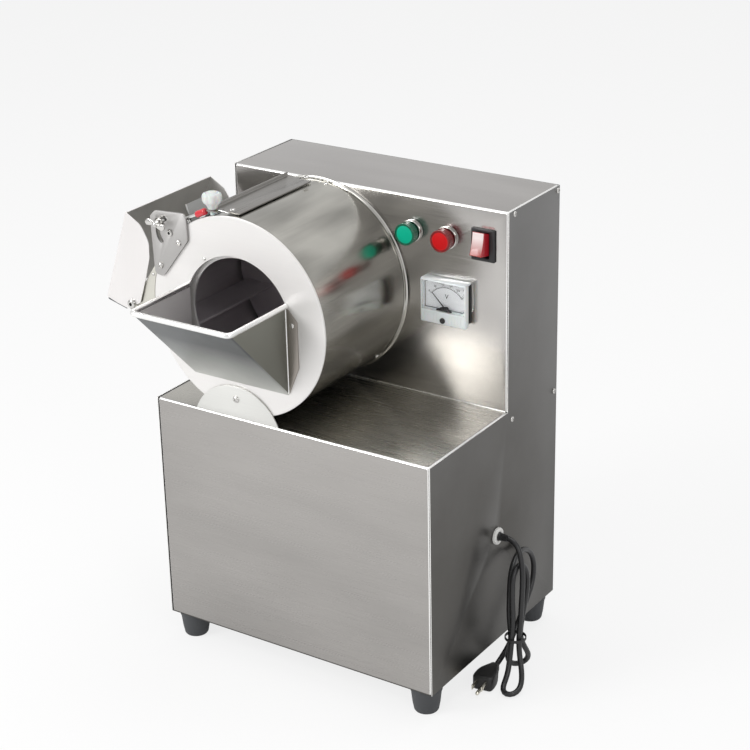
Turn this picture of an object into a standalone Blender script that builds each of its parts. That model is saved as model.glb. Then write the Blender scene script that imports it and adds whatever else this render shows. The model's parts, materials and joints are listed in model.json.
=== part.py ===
"""Vegetable strip cutting machine: a bench cabinet with a fixed cutting drum, a feed hopper in front,
a swinging knife holder on the drum's left shoulder and a discharge hood beside it.
Metres, +Z up, standing on z = 0; the origin is below the middle of the machine."""

import math

import bmesh
import bpy
from mathutils import Matrix, Vector

# Cabinet
cabinet_width = 0.400
base_depth = 0.304
upright_depth = 0.124
cabinet_height = 0.560
deck_height = 0.305
foot_height = 0.036
sheet = 0.0012
bend_radius = 0.0016
gap = 0.0003
hopper_reach = 0.110

# Drum, rotor and drive
drum_radius = 0.125
drum_share = 0.32875
drum_above_deck = 0.0055
shell_wall = 0.0015
ring_plate = 0.002
ring_overhang = 0.001
ring_setback = 0.003
ring_width = 0.0485
window_start = 105.5
window_end = 134.0
rotor_clearance = 0.0045
eye_step = 0.004
rotor_plate = 0.003
rotor_end_play = 0.006
vane_count = 4
shaft_radius = 0.010
housing_radius = 0.034
housing_length = 0.046
driven_radius = 0.050
motor_pulley_radius = 0.025
belt_width = 0.010
belt_height = 0.008
motor_radius = 0.060
motor_length = 0.150
motor_shift = 0.070
motor_height = 0.078
belt_setback = 0.075

# Knife holder
pivot_rise = 0.0062
pivot_angle = 135.6
pivot_radius = 0.003
knife_plate_thickness = 0.003
knife_side_clearance = 0.004
wing_arm = 0.018
wing_angle = 145.0
slot_half_width = 0.0033
slot_start = 110.0
slot_end = 222.0

# Discharge hood
hinge_from_drum = 0.0357
hinge_below_axis = 0.0117
hood_overhang = 0.0398

# Hopper
hopper_width = 0.143
hopper_rim_above_axis = 0.0295
hopper_above_saddle = 0.005
rim_radius = 0.0033
flange_width = 0.016

# Controls
button_height = 0.5150
start_share = 0.94077
stop_share = 0.59233
button_radius = 0.0143
button_travel = 0.003
rocker_share = 0.23693
meter_share = 0.57491
meter_height = 0.436
meter_width = 0.064
meter_tall = 0.056
meter_deep = 0.0155

# Mains cord
cord_radius = 0.0035
cord_exit_depth = 0.154
cord_exit_height = 0.149

# Places worked out from the sizes above
drum_offset = cabinet_width * drum_share
hood_reach = drum_radius + hinge_from_drum + hood_overhang - drum_offset
mouth_radius = drum_radius - ring_width
rotor_eye_radius = mouth_radius - eye_step
left = -(cabinet_width + hood_reach) / 2 + hood_reach
right = left + cabinet_width
front = -(base_depth + hopper_reach) / 2 + hopper_reach
back = front + base_depth
console = back - upright_depth
bottom = foot_height
deck = bottom + deck_height
top = bottom + cabinet_height
drum_x = left + drum_offset
drum_z = deck + drum_above_deck + drum_radius
ring_front = front + ring_setback
ring_back = ring_front + ring_plate
shell_front = ring_back + gap
shell_back = console - gap
rotor_radius = drum_radius - shell_wall - rotor_clearance
motor_x = drum_x + motor_shift
motor_z = bottom + motor_height
belt_y = console + belt_setback
free_width = cabinet_width - drum_offset - drum_radius


def material(name, colour, roughness, metallic):
    made = bpy.data.materials.new(name)
    made.use_nodes = True
    shader = made.node_tree.nodes["Principled BSDF"]
    shader.inputs["Base Color"].default_value = (*colour, 1)
    shader.inputs["Roughness"].default_value = roughness
    shader.inputs["Metallic"].default_value = metallic
    return made


for old in list(bpy.data.objects):
    bpy.data.objects.remove(old, do_unlink=True)

stainless = material("brushed stainless", (0.60, 0.59, 0.57), 0.32, 1.0)
polished = material("polished stainless", (0.72, 0.72, 0.70), 0.18, 1.0)
bracket_steel = material("bead blasted stainless", (0.50, 0.50, 0.49), 0.45, 1.0)
knife_steel = material("knife steel", (0.66, 0.67, 0.69), 0.15, 1.0)
cast_metal = material("cast aluminium", (0.52, 0.53, 0.54), 0.5, 0.9)
dark_steel = material("dark steel", (0.20, 0.20, 0.21), 0.4, 0.9)
red_plastic = material("red plastic", (0.72, 0.03, 0.05), 0.3, 0.0)
green_plastic = material("green plastic", (0.0, 0.50, 0.26), 0.25, 0.0)
clear_plastic = material("clear plastic", (0.88, 0.89, 0.86), 0.15, 0.0)
white_plastic = material("white plastic", (0.86, 0.86, 0.84), 0.35, 0.0)
black_plastic = material("black plastic", (0.025, 0.025, 0.025), 0.4, 0.0)
foot_rubber = material("foot rubber", (0.06, 0.065, 0.07), 0.7, 0.0)
cord_rubber = material("cord sheath", (0.02, 0.02, 0.02), 0.5, 0.0)
motor_paint = material("motor paint", (0.16, 0.18, 0.20), 0.45, 0.2)


def finish(name, mesh_edit, surface, pivot=(0, 0, 0)):
    """One object from a bmesh in world places, its origin put at the pivot."""
    bmesh.ops.recalc_face_normals(mesh_edit, faces=mesh_edit.faces)
    mesh_edit.transform(Matrix.Translation(-Vector(pivot)))
    mesh = bpy.data.meshes.new(name)
    mesh_edit.to_mesh(mesh)
    mesh_edit.free()
    mesh.shade_smooth()
    mesh.set_sharp_from_angle(angle=math.radians(30))
    if surface:
        mesh.materials.append(surface)
    made = bpy.data.objects.new(name, mesh)
    made.location = pivot
    bpy.context.scene.collection.objects.link(made)
    return made


def prism(name, outline, axis, start, end, surface=None, pivot=(0, 0, 0)):
    """An outline swept along x, y or z. Its points are (y, z), (x, z) or (x, y)."""
    lift = {
        "x": lambda u, v, w: (w, u, v),
        "y": lambda u, v, w: (u, w, v),
        "z": lambda u, v, w: (u, v, w),
    }[axis]
    edit = bmesh.new()
    corners = [edit.verts.new(lift(u, v, start)) for u, v in outline]
    face = edit.faces.new(corners)
    swept = bmesh.ops.extrude_face_region(edit, geom=[face])["geom"]
    moved = [item for item in swept if isinstance(item, bmesh.types.BMVert)]
    bmesh.ops.translate(edit, verts=moved, vec=lift(0, 0, end - start))
    return finish(name, edit, surface, pivot)


def box(name, low, high, surface=None, pivot=(0, 0, 0)):
    outline = [(low[0], low[1]), (high[0], low[1]), (high[0], high[1]), (low[0], high[1])]
    return prism(name, outline, "z", low[2], high[2], surface, pivot)


def turned(name, profile, centre, axis, surface=None, steps=32, pivot=None):
    """A closed profile of (radius, distance along the axis) turned about the axis through centre."""
    edit = bmesh.new()
    loop = [edit.verts.new((radius, 0, along)) for radius, along in profile]
    closed = [edit.edges.new((a, b)) for a, b in zip(loop, loop[1:] + loop[:1])]
    bmesh.ops.spin(edit, geom=loop + closed, cent=(0, 0, 0), axis=(0, 0, 1), dvec=(0, 0, 0),
                   angle=2 * math.pi, steps=steps, use_merge=True, use_duplicate=False)
    bmesh.ops.remove_doubles(edit, verts=edit.verts, dist=1e-6)
    bmesh.ops.dissolve_degenerate(edit, edges=edit.edges, dist=1e-6)
    turn = Vector((0, 0, 1)).rotation_difference(Vector(axis)).to_matrix().to_4x4()
    edit.transform(Matrix.Translation(centre) @ turn)
    return finish(name, edit, surface, centre if pivot is None else pivot)


def hide(helper, carrier):
    """A cutter or a joined shape stays as an unseen helper that moves with its carrier."""
    helper.display_type = "WIRE"
    helper.hide_render = True
    bpy.context.view_layer.update()
    helper.parent = carrier
    helper.matrix_parent_inverse = carrier.matrix_world.inverted()


def combine(carrier, helper, operation):
    hide(helper, carrier)
    step = carrier.modifiers.new(helper.name, "BOOLEAN")
    step.operation = operation
    step.object = helper
    return carrier


def cut(carrier, helper):
    return combine(carrier, helper, "DIFFERENCE")


def weld(carrier, helper):
    return combine(carrier, helper, "UNION")


def arc(centre, radius, start, end, steps):
    """Points of a circular arc, angles in degrees from +X towards +Z."""
    turns = [math.radians(start + (end - start) * i / steps) for i in range(steps + 1)]
    return [(centre[0] + radius * math.cos(t), centre[1] + radius * math.sin(t)) for t in turns]


def band(centre, inner, outer, start, end, steps):
    return arc(centre, outer, start, end, steps) + arc(centre, inner, end, start, steps)


def softened(points, radius, steps=3, closed=True):
    """The same outline with each corner rounded, never past half of its shorter side."""
    made = []
    last = len(points) - 1
    for i, point in enumerate(points):
        here = Vector(point)
        if not closed and i in (0, last):
            made.append(tuple(here))
            continue
        before = Vector(points[i - 1]) - here
        after = Vector(points[(i + 1) % len(points)]) - here
        half = before.angle(after) / 2
        back_off = min(radius / math.tan(half), 0.45 * before.length, 0.45 * after.length)
        start = here + before.normalized() * back_off
        end = here + after.normalized() * back_off
        for k in range(steps + 1):
            t = k / steps
            made.append(tuple((1 - t) ** 2 * start + 2 * t * (1 - t) * here + t * t * end))
    return made


def bent_sheet(name, path, thickness, start, end, surface, pivot=(0, 0, 0), axis="x", bend=None):
    """A folded sheet: the path is its outer face, and the metal lies to the left of travel."""
    route = softened(path, bend or bend_radius, closed=False)
    inner = []
    for i, point in enumerate(route):
        here = Vector(point)
        sides = []
        if i > 0:
            sides.append((here - Vector(route[i - 1])).normalized())
        if i < len(route) - 1:
            sides.append((Vector(route[i + 1]) - here).normalized())
        normals = [Vector((-side.y, side.x)) for side in sides]
        total = sum(normals, Vector((0, 0))).normalized()
        reach = thickness / max(0.5, total.dot(normals[0]))
        inner.append(tuple(here + total * reach))
    return prism(name, route + inner[::-1], axis, start, end, surface, pivot)


def tube(name, path, radius, surface=None, sides=10, pivot=(0, 0, 0)):
    """A round bar bent along a path, mitred at its corners."""
    points = [Vector(point) for point in path]
    ahead = [(b - a).normalized() for a, b in zip(points, points[1:])]
    ahead = ahead[:1] + ahead + ahead[-1:]
    across = ahead[0].orthogonal().normalized()
    rise = ahead[0].cross(across)
    turns = [2 * math.pi * k / sides for k in range(sides)]
    spokes = [(across * math.cos(turn) + rise * math.sin(turn)) * radius for turn in turns]
    edit = bmesh.new()
    rings = []
    for here, before, after in zip(points, ahead, ahead[1:]):
        mitre = (before + after).normalized()
        slide = 1 / before.dot(mitre)
        rings.append([edit.verts.new(here + spoke - before * spoke.dot(mitre) * slide) for spoke in spokes])
        turn = before.rotation_difference(after)
        spokes = [turn @ spoke for spoke in spokes]
    for first, second in zip(rings, rings[1:]):
        for k in range(sides):
            edit.faces.new((first[k], first[(k + 1) % sides], second[(k + 1) % sides], second[k]))
    edit.faces.new(rings[0][::-1])
    edit.faces.new(rings[-1])
    return finish(name, edit, surface, pivot)


def hole(carrier, place, axis, radius, reach, steps=20):
    """A round hole through the carrier."""
    profile = [(0, -reach), (radius, -reach), (radius, reach), (0, reach)]
    cutter = turned(f"{carrier.name}_hole", profile, place, axis, steps=steps)
    return cut(carrier, cutter)


def around(radius, degrees):
    """A point at this radius and angle about the drum's axis, as (x, z)."""
    turn = math.radians(degrees)
    return (drum_x + radius * math.cos(turn), drum_z + radius * math.sin(turn))


# Cabinet
inner_left = left + sheet + gap
inner_right = right - sheet - gap
floor_sheet_top = bottom + sheet
return_flange = 0.012
shaft_opening = 0.0238
vent_count = 7
vent_pitch = 0.014
vent_half = 0.0025
vent_rise = 0.12
vent_margin = 0.3 * cabinet_width
through = 0.01


def side_panel(name, outer, inner):
    outline = [(front, bottom), (back, bottom), (back, top), (console, top), (console, deck),
               (front, deck)]
    return prism(name, outline, "x", outer, inner, stainless)


def cabinet():
    side_panel("side_panel_left", left, left + sheet)
    panel = side_panel("side_panel_right", right - sheet, right)
    exit_place = (right, front + cord_exit_depth, bottom + cord_exit_height)
    hole(panel, exit_place, (1, 0, 0), gland_neck + gap, through)

    lower = floor_sheet_top + gap
    tuck = console + 2 * sheet + gap
    path = [(front, lower), (front, deck), (tuck, deck), (tuck, deck + return_flange)]
    bent_sheet("front_deck_panel", path[::-1], sheet, inner_left, inner_right, stainless)

    path = [(console, deck + gap), (console, top), (back - sheet - gap, top)]
    face = bent_sheet("console_panel", path[::-1], sheet, inner_left, inner_right, stainless)
    hole(face, (drum_x, console, drum_z), (0, 1, 0), shaft_opening, through, 32)
    for x in (start_x, stop_x):
        hole(face, (x, console, button_z), (0, 1, 0), neck_radius + gap, through)
    x, z = rocker_middle
    wide, tall = rocker_body_half[0] + gap, rocker_body_half[1] + gap
    cut(face, box("rocker_cutout", (x - wide, console - through, z - tall),
                  (x + wide, console + through, z + tall)))
    hole(face, (meter_middle[0], console, meter_middle[1]), (0, 1, 0), meter_can_radius + gap, through, 32)

    low = (inner_left, back - sheet, lower)
    rear = box("back_panel", low, (inner_right, back, top), stainless)
    for i in range(vent_count):
        level = bottom + vent_rise + i * vent_pitch
        slot = box(f"vent_{i}", (left + vent_margin, back - through, level - vent_half),
                   (right - vent_margin, back + through, level + vent_half))
        cut(rear, slot)
    box("bottom_panel", (inner_left, front, bottom), (inner_right, back, floor_sheet_top), stainless)


# Feet
foot_top_radius = 0.020
foot_base_radius = 0.0155
foot_inset = 0.022
foot_rim = 0.006
foot_edge = 0.002


def feet():
    for side, x in (("left", left + foot_inset), ("right", right - foot_inset)):
        for end, y in (("front", front + foot_inset), ("rear", back - foot_inset)):
            profile = [(0, 0), (foot_base_radius - foot_edge, 0), (foot_base_radius, foot_edge),
                       (foot_top_radius, foot_height - foot_rim), (foot_top_radius, foot_height - gap),
                       (0, foot_height - gap)]
            turned(f"foot_{end}_{side}", profile, (x, y, 0), (0, 0, 1), foot_rubber, 24)


# Fixed drum
bead = 0.0028
saddle_shift = 0.0075
saddle_half = 0.0615
saddle_rise = 0.041
saddle_plate = 0.002
saddle_foot = 0.026
saddle_foot_share = 0.6
cheek_plate = 0.0015
axis_place = (drum_x, drum_z)


def drum():
    shell = band(axis_place, drum_radius - shell_wall, drum_radius, window_end, window_start + 360, 60)
    prism("drum_shell", shell, "y", shell_front, shell_back, polished)

    inner, outer = mouth_radius, drum_radius + ring_overhang
    profile = [(inner, 0), (outer, 0), (outer, ring_plate), (inner, ring_plate)]
    turned("drum_front_ring", profile, (drum_x, ring_front, drum_z), (0, 1, 0), polished, 60)

    low = drum_radius + gap
    profile = [(low, 0), (low + bead * 0.6, 0), (low + bead, bead), (low + bead * 0.6, 2 * bead),
               (low, 2 * bead)]
    rear = (drum_x, console - gap - 2 * bead, drum_z)
    turned("drum_rear_ring", profile, rear, (0, 1, 0), polished, 60)


def saddle():
    middle = drum_x - saddle_shift
    base = deck + gap
    radius = (saddle_half ** 2 + saddle_rise ** 2) / (2 * saddle_rise)
    start = math.degrees(math.asin(1 - saddle_rise / radius))
    rim = arc((middle, base + saddle_rise - radius), radius, start, 180 - start, 24)
    near = front + gap
    plate = prism("saddle_bracket", rim, "y", near, near + saddle_plate, polished)
    reach = saddle_half * saddle_foot_share
    weld(plate, box("saddle_foot", (middle - reach, near + saddle_plate / 2, base),
                    (middle + reach, front + saddle_foot, base + saddle_plate)))


# Discharge hood and the cheeks that carry it
hood_pivot = (left - hood_reach + hood_overhang, drum_z - hinge_below_axis)
hood_sheet = 0.0012
hood_back = console - 0.012
hood_outline = [(-0.0004, 0.1182), (-hood_overhang, 0.0022), (-0.0088, -0.0088), (0.0129, 0.0035)]
hood_edge = [(0.0242, 0.0367), (0.0327, 0.0659), (0.0331, 0.0856), (0.0218, 0.1050)]
hinge_radius = 0.003
hinge_head = 0.0058
cheek_rise = 0.0731
cheek_drop = 0.0229
cheek_outline = [(0.006, -0.0117), (-0.0066, -0.009), (-0.0075, 0.006), (0.020, 0.030)]


def hood_points(points):
    return [(hood_pivot[0] + u, hood_pivot[1] + v) for u, v in points]


def chute():
    top_left, low_left, low_mid, low_right = hood_points(hood_outline)
    curve = softened([low_right] + hood_points(hood_edge) + [top_left], 0.02, 3, closed=False)
    side = [low_left, low_mid] + curve
    pivot = (hood_pivot[0], front, hood_pivot[1])
    hood = prism("discharge_hood", side, "y", front, hood_back, stainless, pivot)
    outward = Vector((low_left[0] - top_left[0], low_left[1] - top_left[1])).normalized()
    inward = Vector((-outward.y, outward.x)) * hood_sheet
    far = 0.09
    cavity = [Vector(top_left) + inward - outward * 0.03, Vector(low_left) + inward + outward * 0.03]
    cavity = [tuple(point) for point in cavity]
    cavity += [(cavity[1][0] + far, cavity[1][1] - 0.03), (cavity[0][0] + far, cavity[0][1])]
    cut(hood, prism("hood_space", cavity, "y", front + hood_sheet, hood_back - hood_sheet))
    for y in (front, hood_back):
        hole(hood, (hood_pivot[0], y, hood_pivot[1]), (0, 1, 0), hinge_radius + gap, 0.004, 16)

    rim = drum_radius + ring_overhang
    rear_near = hood_back - hood_sheet - gap - cheek_plate
    for end_name, near, edge in (("front", ring_front, rim), ("rear", rear_near, drum_radius)):
        upper = 180 - math.degrees(math.asin(cheek_rise / edge))
        lower = 180 + math.degrees(math.asin(cheek_drop / edge))
        seat = arc(axis_place, edge + gap, upper, lower, 14)
        outline = seat + hood_points(cheek_outline)
        cheek = prism(f"chute_cheek_{end_name}", outline, "y", near, near + cheek_plate, polished)
        hole(cheek, (hood_pivot[0], near, hood_pivot[1]), (0, 1, 0), hinge_radius + gap, 0.004, 16)
        out = -1 if end_name == "front" else 1
        face = front - gap if out < 0 else hood_back + gap
        head = hinge_head
        reach = abs(near - face) + cheek_plate + 0.001
        profile = [(0, -reach), (hinge_radius, -reach), (hinge_radius, 0), (head, 0), (head, 0.0012),
                   (head * 0.6, 0.0028), (0, 0.0032)]
        turned(f"hood_screw_{end_name}", profile, (hood_pivot[0], face, hood_pivot[1]), (0, out, 0),
               polished, 16)


# Knife holder
pivot_x, pivot_z = around(drum_radius + pivot_rise, pivot_angle)
edge_x, edge_z = around(drum_radius, window_start)
holder_angle = math.degrees(math.atan2(edge_z - pivot_z, edge_x - pivot_x))
holder_length = math.hypot(edge_x - pivot_x, edge_z - pivot_z)
holder_front = shell_front + knife_side_clearance
holder_back = console - 0.018
knuckle_radius = 0.0055
blade_thickness = 0.0012
blade_reach = 0.0235
comb_count = 15
comb_height = 0.006
comb_thickness = 0.0012
comb_along = holder_length - 0.0258
comb_wide = 0.010
comb_lean = 0.003
fin_along = holder_length - 0.0378
fin_plate = 0.0024
fin_lean = 0.0028
fin_height = 0.0242
fin_deep = 0.056
rod_radius = 0.0021
grip_radius = 0.0044
grip_along = holder_length - 0.0203
grip_length = 0.0165
wing_half = 0.014
bracket_plate = 0.003


def holder_point(along, above):
    """A point in the knife holder's own line: along it from the pivot, and above it."""
    turn = math.radians(holder_angle)
    return (pivot_x + along * math.cos(turn) - above * math.sin(turn),
            pivot_z + along * math.sin(turn) + above * math.cos(turn))


def knife():
    pivot = (pivot_x, front, pivot_z)
    seat = holder_length - blade_reach
    thick = knife_plate_thickness
    outline = [holder_point(u, v) for u, v in (
        (0, -thick / 2), (seat + 0.012, -thick / 2), (seat + 0.012, thick / 2 - blade_thickness - gap),
        (seat, thick / 2 - blade_thickness - gap), (seat, thick / 2), (0, thick / 2))]
    plate = prism("knife_plate", outline, "y", holder_front, holder_back, bracket_steel, pivot)
    long = holder_back - holder_front
    profile = [(0, 0), (knuckle_radius, 0), (knuckle_radius, long), (0, long)]
    weld(plate, turned("knife_knuckle", profile, (pivot_x, holder_front, pivot_z), (0, 1, 0), steps=20))
    fin = [holder_point(u, v) for u, v in (
        (fin_along, thick / 2 - 0.001), (fin_along + fin_plate, thick / 2 - 0.001),
        (fin_along + fin_lean + fin_plate, fin_height), (fin_along + fin_lean, fin_height))]
    weld(plate, prism("knife_fin", fin, "y", holder_front, holder_front + fin_deep))
    arm_x, arm_z = around_pivot(wing_arm, wing_angle)
    lug = softened([(pivot_x, pivot_z + 0.004), (arm_x, arm_z + 0.006), (arm_x - 0.004, arm_z),
                    (arm_x, arm_z - 0.006), (pivot_x, pivot_z - 0.004)], 0.003)
    weld(plate, prism("knife_lug", lug, "y", holder_front, holder_front + 0.004))
    bore = (pivot_x, holder_front, pivot_z)
    hole(plate, bore, (0, 1, 0), pivot_radius + gap, 0.3, 16)

    blade = [holder_point(u, v) for u, v in (
        (seat + gap, thick / 2 - blade_thickness), (holder_length - 0.004, thick / 2 - blade_thickness),
        (holder_length, thick / 2 - blade_thickness + 0.0002), (holder_length - 0.004, thick / 2),
        (seat + gap, thick / 2))]
    prism("slicing_blade", blade, "y", holder_front + 0.002, holder_back - 0.002, knife_steel, pivot)

    low = thick / 2 + gap
    comb_foot = [holder_point(u, v) for u, v in (
        (comb_along, low), (comb_along + comb_wide, low), (comb_along + comb_wide, thick / 2 + 0.002),
        (comb_along, thick / 2 + 0.002))]
    comb_start = holder_front + knife_side_clearance
    comb_end = holder_back - knife_side_clearance
    comb = prism("strip_comb", comb_foot, "y", comb_start, comb_end, knife_steel, pivot)
    root, tip = comb_along + 0.0005, comb_along + 0.0005 + comb_lean
    wide = comb_wide - 0.001
    tooth = [holder_point(u, v) for u, v in (
        (root, thick / 2 + 0.001), (root + wide, thick / 2 + 0.001), (tip + wide, thick / 2 + comb_height),
        (tip, thick / 2 + comb_height))]
    step = (comb_end - comb_start - comb_thickness) / (comb_count - 1)
    for i in range(comb_count):
        y = comb_start + i * step
        weld(comb, prism(f"tooth_{i}", tooth, "y", y, y + comb_thickness))

    pin_front = bracket_front - gap
    pin_length = console - gap - pin_front
    head = pivot_radius + 0.0012
    profile = [(0, -0.0015), (head, -0.0010), (head, 0), (pivot_radius, 0), (pivot_radius, pin_length),
               (0, pin_length)]
    turned("pivot_pin", profile, (pivot_x, pin_front, pivot_z), (0, 1, 0), polished, 16)


def around_pivot(radius, degrees):
    turn = math.radians(degrees)
    return (pivot_x + radius * math.cos(turn), pivot_z + radius * math.sin(turn))


rod_along = holder_length - 0.0443
rod_above = 0.0086
rod_inset = 0.0070
rod_clear = 0.0007


def handle():
    """A bright rod that stands on the plate, comes forward and runs along above it to the grip."""
    pivot = (pivot_x, front, pivot_z)
    near = bracket_back + rod_clear + rod_radius
    grip_end = grip_along + grip_length
    path = []
    for along, above, y in ((rod_along, knife_plate_thickness / 2 + gap, near + rod_inset),
                            (rod_along, rod_above, near + rod_inset), (rod_along, rod_above, near),
                            (grip_end - 0.003, rod_above, near)):
        x, z = holder_point(along, above)
        path.append((x, y, z))
    tube("lever_rod", softened(path, 0.003, closed=False), rod_radius, polished, 12, pivot)

    low, high = rod_radius + gap, grip_radius
    blind = grip_length - 0.003 + gap
    profile = [(low, 0), (high - 0.001, 0), (high, 0.001), (high, grip_length - 0.0012),
               (high - 0.0012, grip_length), (0, grip_length), (0, blind), (low, blind)]
    x, z = holder_point(grip_along, rod_above)
    turn = math.radians(holder_angle)
    turned("lever_grip", profile, (x, near, z), (math.cos(turn), 0, math.sin(turn)), red_plastic, 20, pivot)


bracket_outline = [(-0.0215, 0.0245), (0.0212, 0.0272), (0.0256, 0.0212), (0.0263, -0.0060),
                   (-0.0140, -0.0575), (-0.0262, -0.0558), (-0.0290, 0.0170)]
bracket_back = ring_front - gap
bracket_front = bracket_back - bracket_plate
wing_stem = 0.0025
wing_hub = 0.0052
wing_tilt = 162


def adjuster():
    outline = softened([(pivot_x + u, pivot_z + v) for u, v in bracket_outline], 0.005)
    bracket = prism("adjust_bracket", outline, "y", bracket_front, bracket_back, bracket_steel)
    hole(bracket, (pivot_x, bracket_front, pivot_z), (0, 1, 0), pivot_radius + gap, through, 16)
    centre = (pivot_x, pivot_z)
    inner, outer = wing_arm - slot_half_width, wing_arm + slot_half_width
    slot = arc(centre, outer, slot_start, slot_end, 12)
    slot += arc(around_pivot(wing_arm, slot_end), slot_half_width, slot_end, slot_end + 180, 6)[1:-1]
    slot += arc(centre, inner, slot_end, slot_start, 12)
    slot += arc(around_pivot(wing_arm, slot_start), slot_half_width, slot_start + 180,
                slot_start + 360, 6)[1:-1]
    cut(bracket, prism("arc_slot", slot, "y", bracket_front - through, bracket_back + through))

    stem_x, stem_z = around_pivot(wing_arm, wing_angle)
    hub = wing_hub
    face = bracket_front - gap
    into = holder_front - gap - face
    profile = [(0, -into), (wing_stem, -into), (wing_stem, 0), (hub * 1.25, 0), (hub * 1.25, 0.0012),
               (hub, 0.002), (hub * 0.8, 0.010), (0, 0.0108)]
    bolt = turned("wing_bolt", profile, (stem_x, face, stem_z), (0, -1, 0), polished, 20)
    tilt = math.radians(wing_tilt)
    for way, name in ((1, "wing_right"), (-1, "wing_left")):
        shape = [(0.002, -0.0025), (0.008, -0.0035), (wing_half, -0.001), (wing_half + 0.001, 0.003),
                 (wing_half - 0.002, 0.006), (0.007, 0.0042), (0.002, 0.0025)]
        shape = softened(shape, 0.002)
        turned_shape = [(stem_x + way * u * math.cos(tilt) - v * math.sin(tilt) * way,
                         stem_z + way * u * math.sin(tilt) + v * math.cos(tilt) * way) for u, v in shape]
        weld(bolt, prism(name, turned_shape, "y", face - 0.0098, face - 0.0070))


# Cover strap and its knob
strap_left = edge_x + 0.0004
strap_right = strap_left + 0.0355
strap_plate = 0.0015
strap_front = front + 0.0130
strap_back = shell_back - 0.0217
strap_lip = 0.0055
strap_flat = 0.027
ear_wide = 0.012
strap_bend = 0.0022
strap_lift = 0.0022
knob_x = edge_x + 0.0019
knob_y = front + 0.006
knob_stem = 0.003
knob_waist = 0.0098
knob_lobes = 6
lobe_radius = 0.0042
ear_half = 0.005


def strap():
    low = drum_z + drum_radius + ring_overhang + gap
    path = [(strap_right, low), (strap_left + strap_flat, low), (strap_left, low + strap_lift),
            (strap_left - 0.0004, low + strap_lift + strap_lip)]
    cover = bent_sheet("clamp_strap", path[::-1], strap_plate, strap_front, strap_back, polished,
                       axis="y", bend=strap_bend)
    ear_low = low + strap_lift - 0.0004
    ear_front = front + 0.0007
    ear_back = holder_front - 0.0005
    ear_left = knob_x - ear_half
    outline = [(ear_left, ear_front), (strap_left + ear_wide, ear_front),
               (strap_left + ear_wide, strap_front + 0.002), (strap_left + 0.004, strap_front + 0.002),
               (strap_left + 0.004, ear_back), (ear_left, ear_back)]
    weld(cover, prism("strap_ear", outline, "z", ear_low, ear_low + strap_plate))
    hole(cover, (knob_x, knob_y, ear_low), (0, 0, 1), knob_stem + gap, through, 16)

    outer = drum_radius + ring_overhang
    seat = drum_z + math.sqrt(outer ** 2 - (drum_x - knob_x - knob_stem) ** 2) + gap
    over = ear_low + strap_plate + 0.0025 - seat
    profile = [(0, 0), (knob_stem, 0), (knob_stem, over - 0.001), (0.0055, over), (0.0075, over + 0.0045),
               (knob_waist, over + 0.008), (knob_waist, over + 0.0095), (0.009, over + 0.0180),
               (0, over + 0.0200)]
    knob = turned("clamp_knob", profile, (knob_x, knob_y, seat), (0, 0, 1), clear_plastic, 24)
    lobes = []
    pitch = 360 / knob_lobes
    for i in range(knob_lobes):
        turn = math.radians(pitch * i)
        centre = (knob_x + knob_waist * math.cos(turn), knob_y + knob_waist * math.sin(turn))
        lobes += arc(centre, lobe_radius, pitch * i - 75, pitch * i + 75, 6)
    weld(knob, prism("knob_lobes", lobes, "z", seat + over + 0.0085, seat + over + 0.0170))


# Hopper walls and mounting flanges
rim_bend = 0.006
flange_foot = 0.038
flange_shoulder = 0.018
flange_neck = 0.005


def hopper():
    half = hopper_width / 2
    mouth_back = ring_front - gap
    lip = front - hopper_reach + rim_radius
    rim_z = drum_z + hopper_rim_above_axis
    foot_z = deck + gap + saddle_rise + hopper_above_saddle
    edit = bmesh.new()

    def corner(x, y, z):
        return edit.verts.new((x, y, z))

    lips = [corner(drum_x + side * half, lip, rim_z) for side in (-1, 1)]
    tops = [corner(drum_x + side * half, mouth_back, rim_z) for side in (-1, 1)]
    heels = [corner(drum_x + side * half, mouth_back, foot_z) for side in (-1, 1)]
    edit.faces.new((lips[0], lips[1], heels[1], heels[0]))
    for k, side in enumerate((-1, 1)):
        edit.faces.new((lips[k], heels[k], tops[k]))
        edge = drum_x + side * half
        out = edge + side * flange_width
        flange = [tops[k], heels[k], corner(out, mouth_back, foot_z + flange_foot),
                  corner(out, mouth_back, rim_z - flange_shoulder),
                  corner(edge + side * flange_neck, mouth_back, rim_z - flange_neck)]
        edit.faces.new(flange)
    body = finish("hopper", edit, stainless)
    walls = body.modifiers.new("walls", "SOLIDIFY")
    walls.thickness = sheet
    walls.offset = 0
    walls.use_even_offset = True
    body.location.y = -sheet
    end = mouth_back - sheet * 2
    path = [(drum_x - half, end, rim_z), (drum_x - half, lip, rim_z), (drum_x + half, lip, rim_z),
            (drum_x + half, end, rim_z)]
    weld(body, tube("hopper_rim", softened(path, rim_bend, 4, closed=False), rim_radius, sides=16))


# Rotor, bearings and drive
rotor_front = ring_back + rotor_end_play
disc_back = console - 0.010
disc_front = disc_back - rotor_plate
hub_radius = 0.019
hub_length = 0.012
nose_length = 0.014
nut_radius = 0.017
nut_thick = 0.010
vane_lean = 22
vane_turn = 20
housing_front = console + sheet + gap
pulley_width = belt_width + 0.006
shaft_back = belt_y + pulley_width / 2 + 0.006


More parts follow.
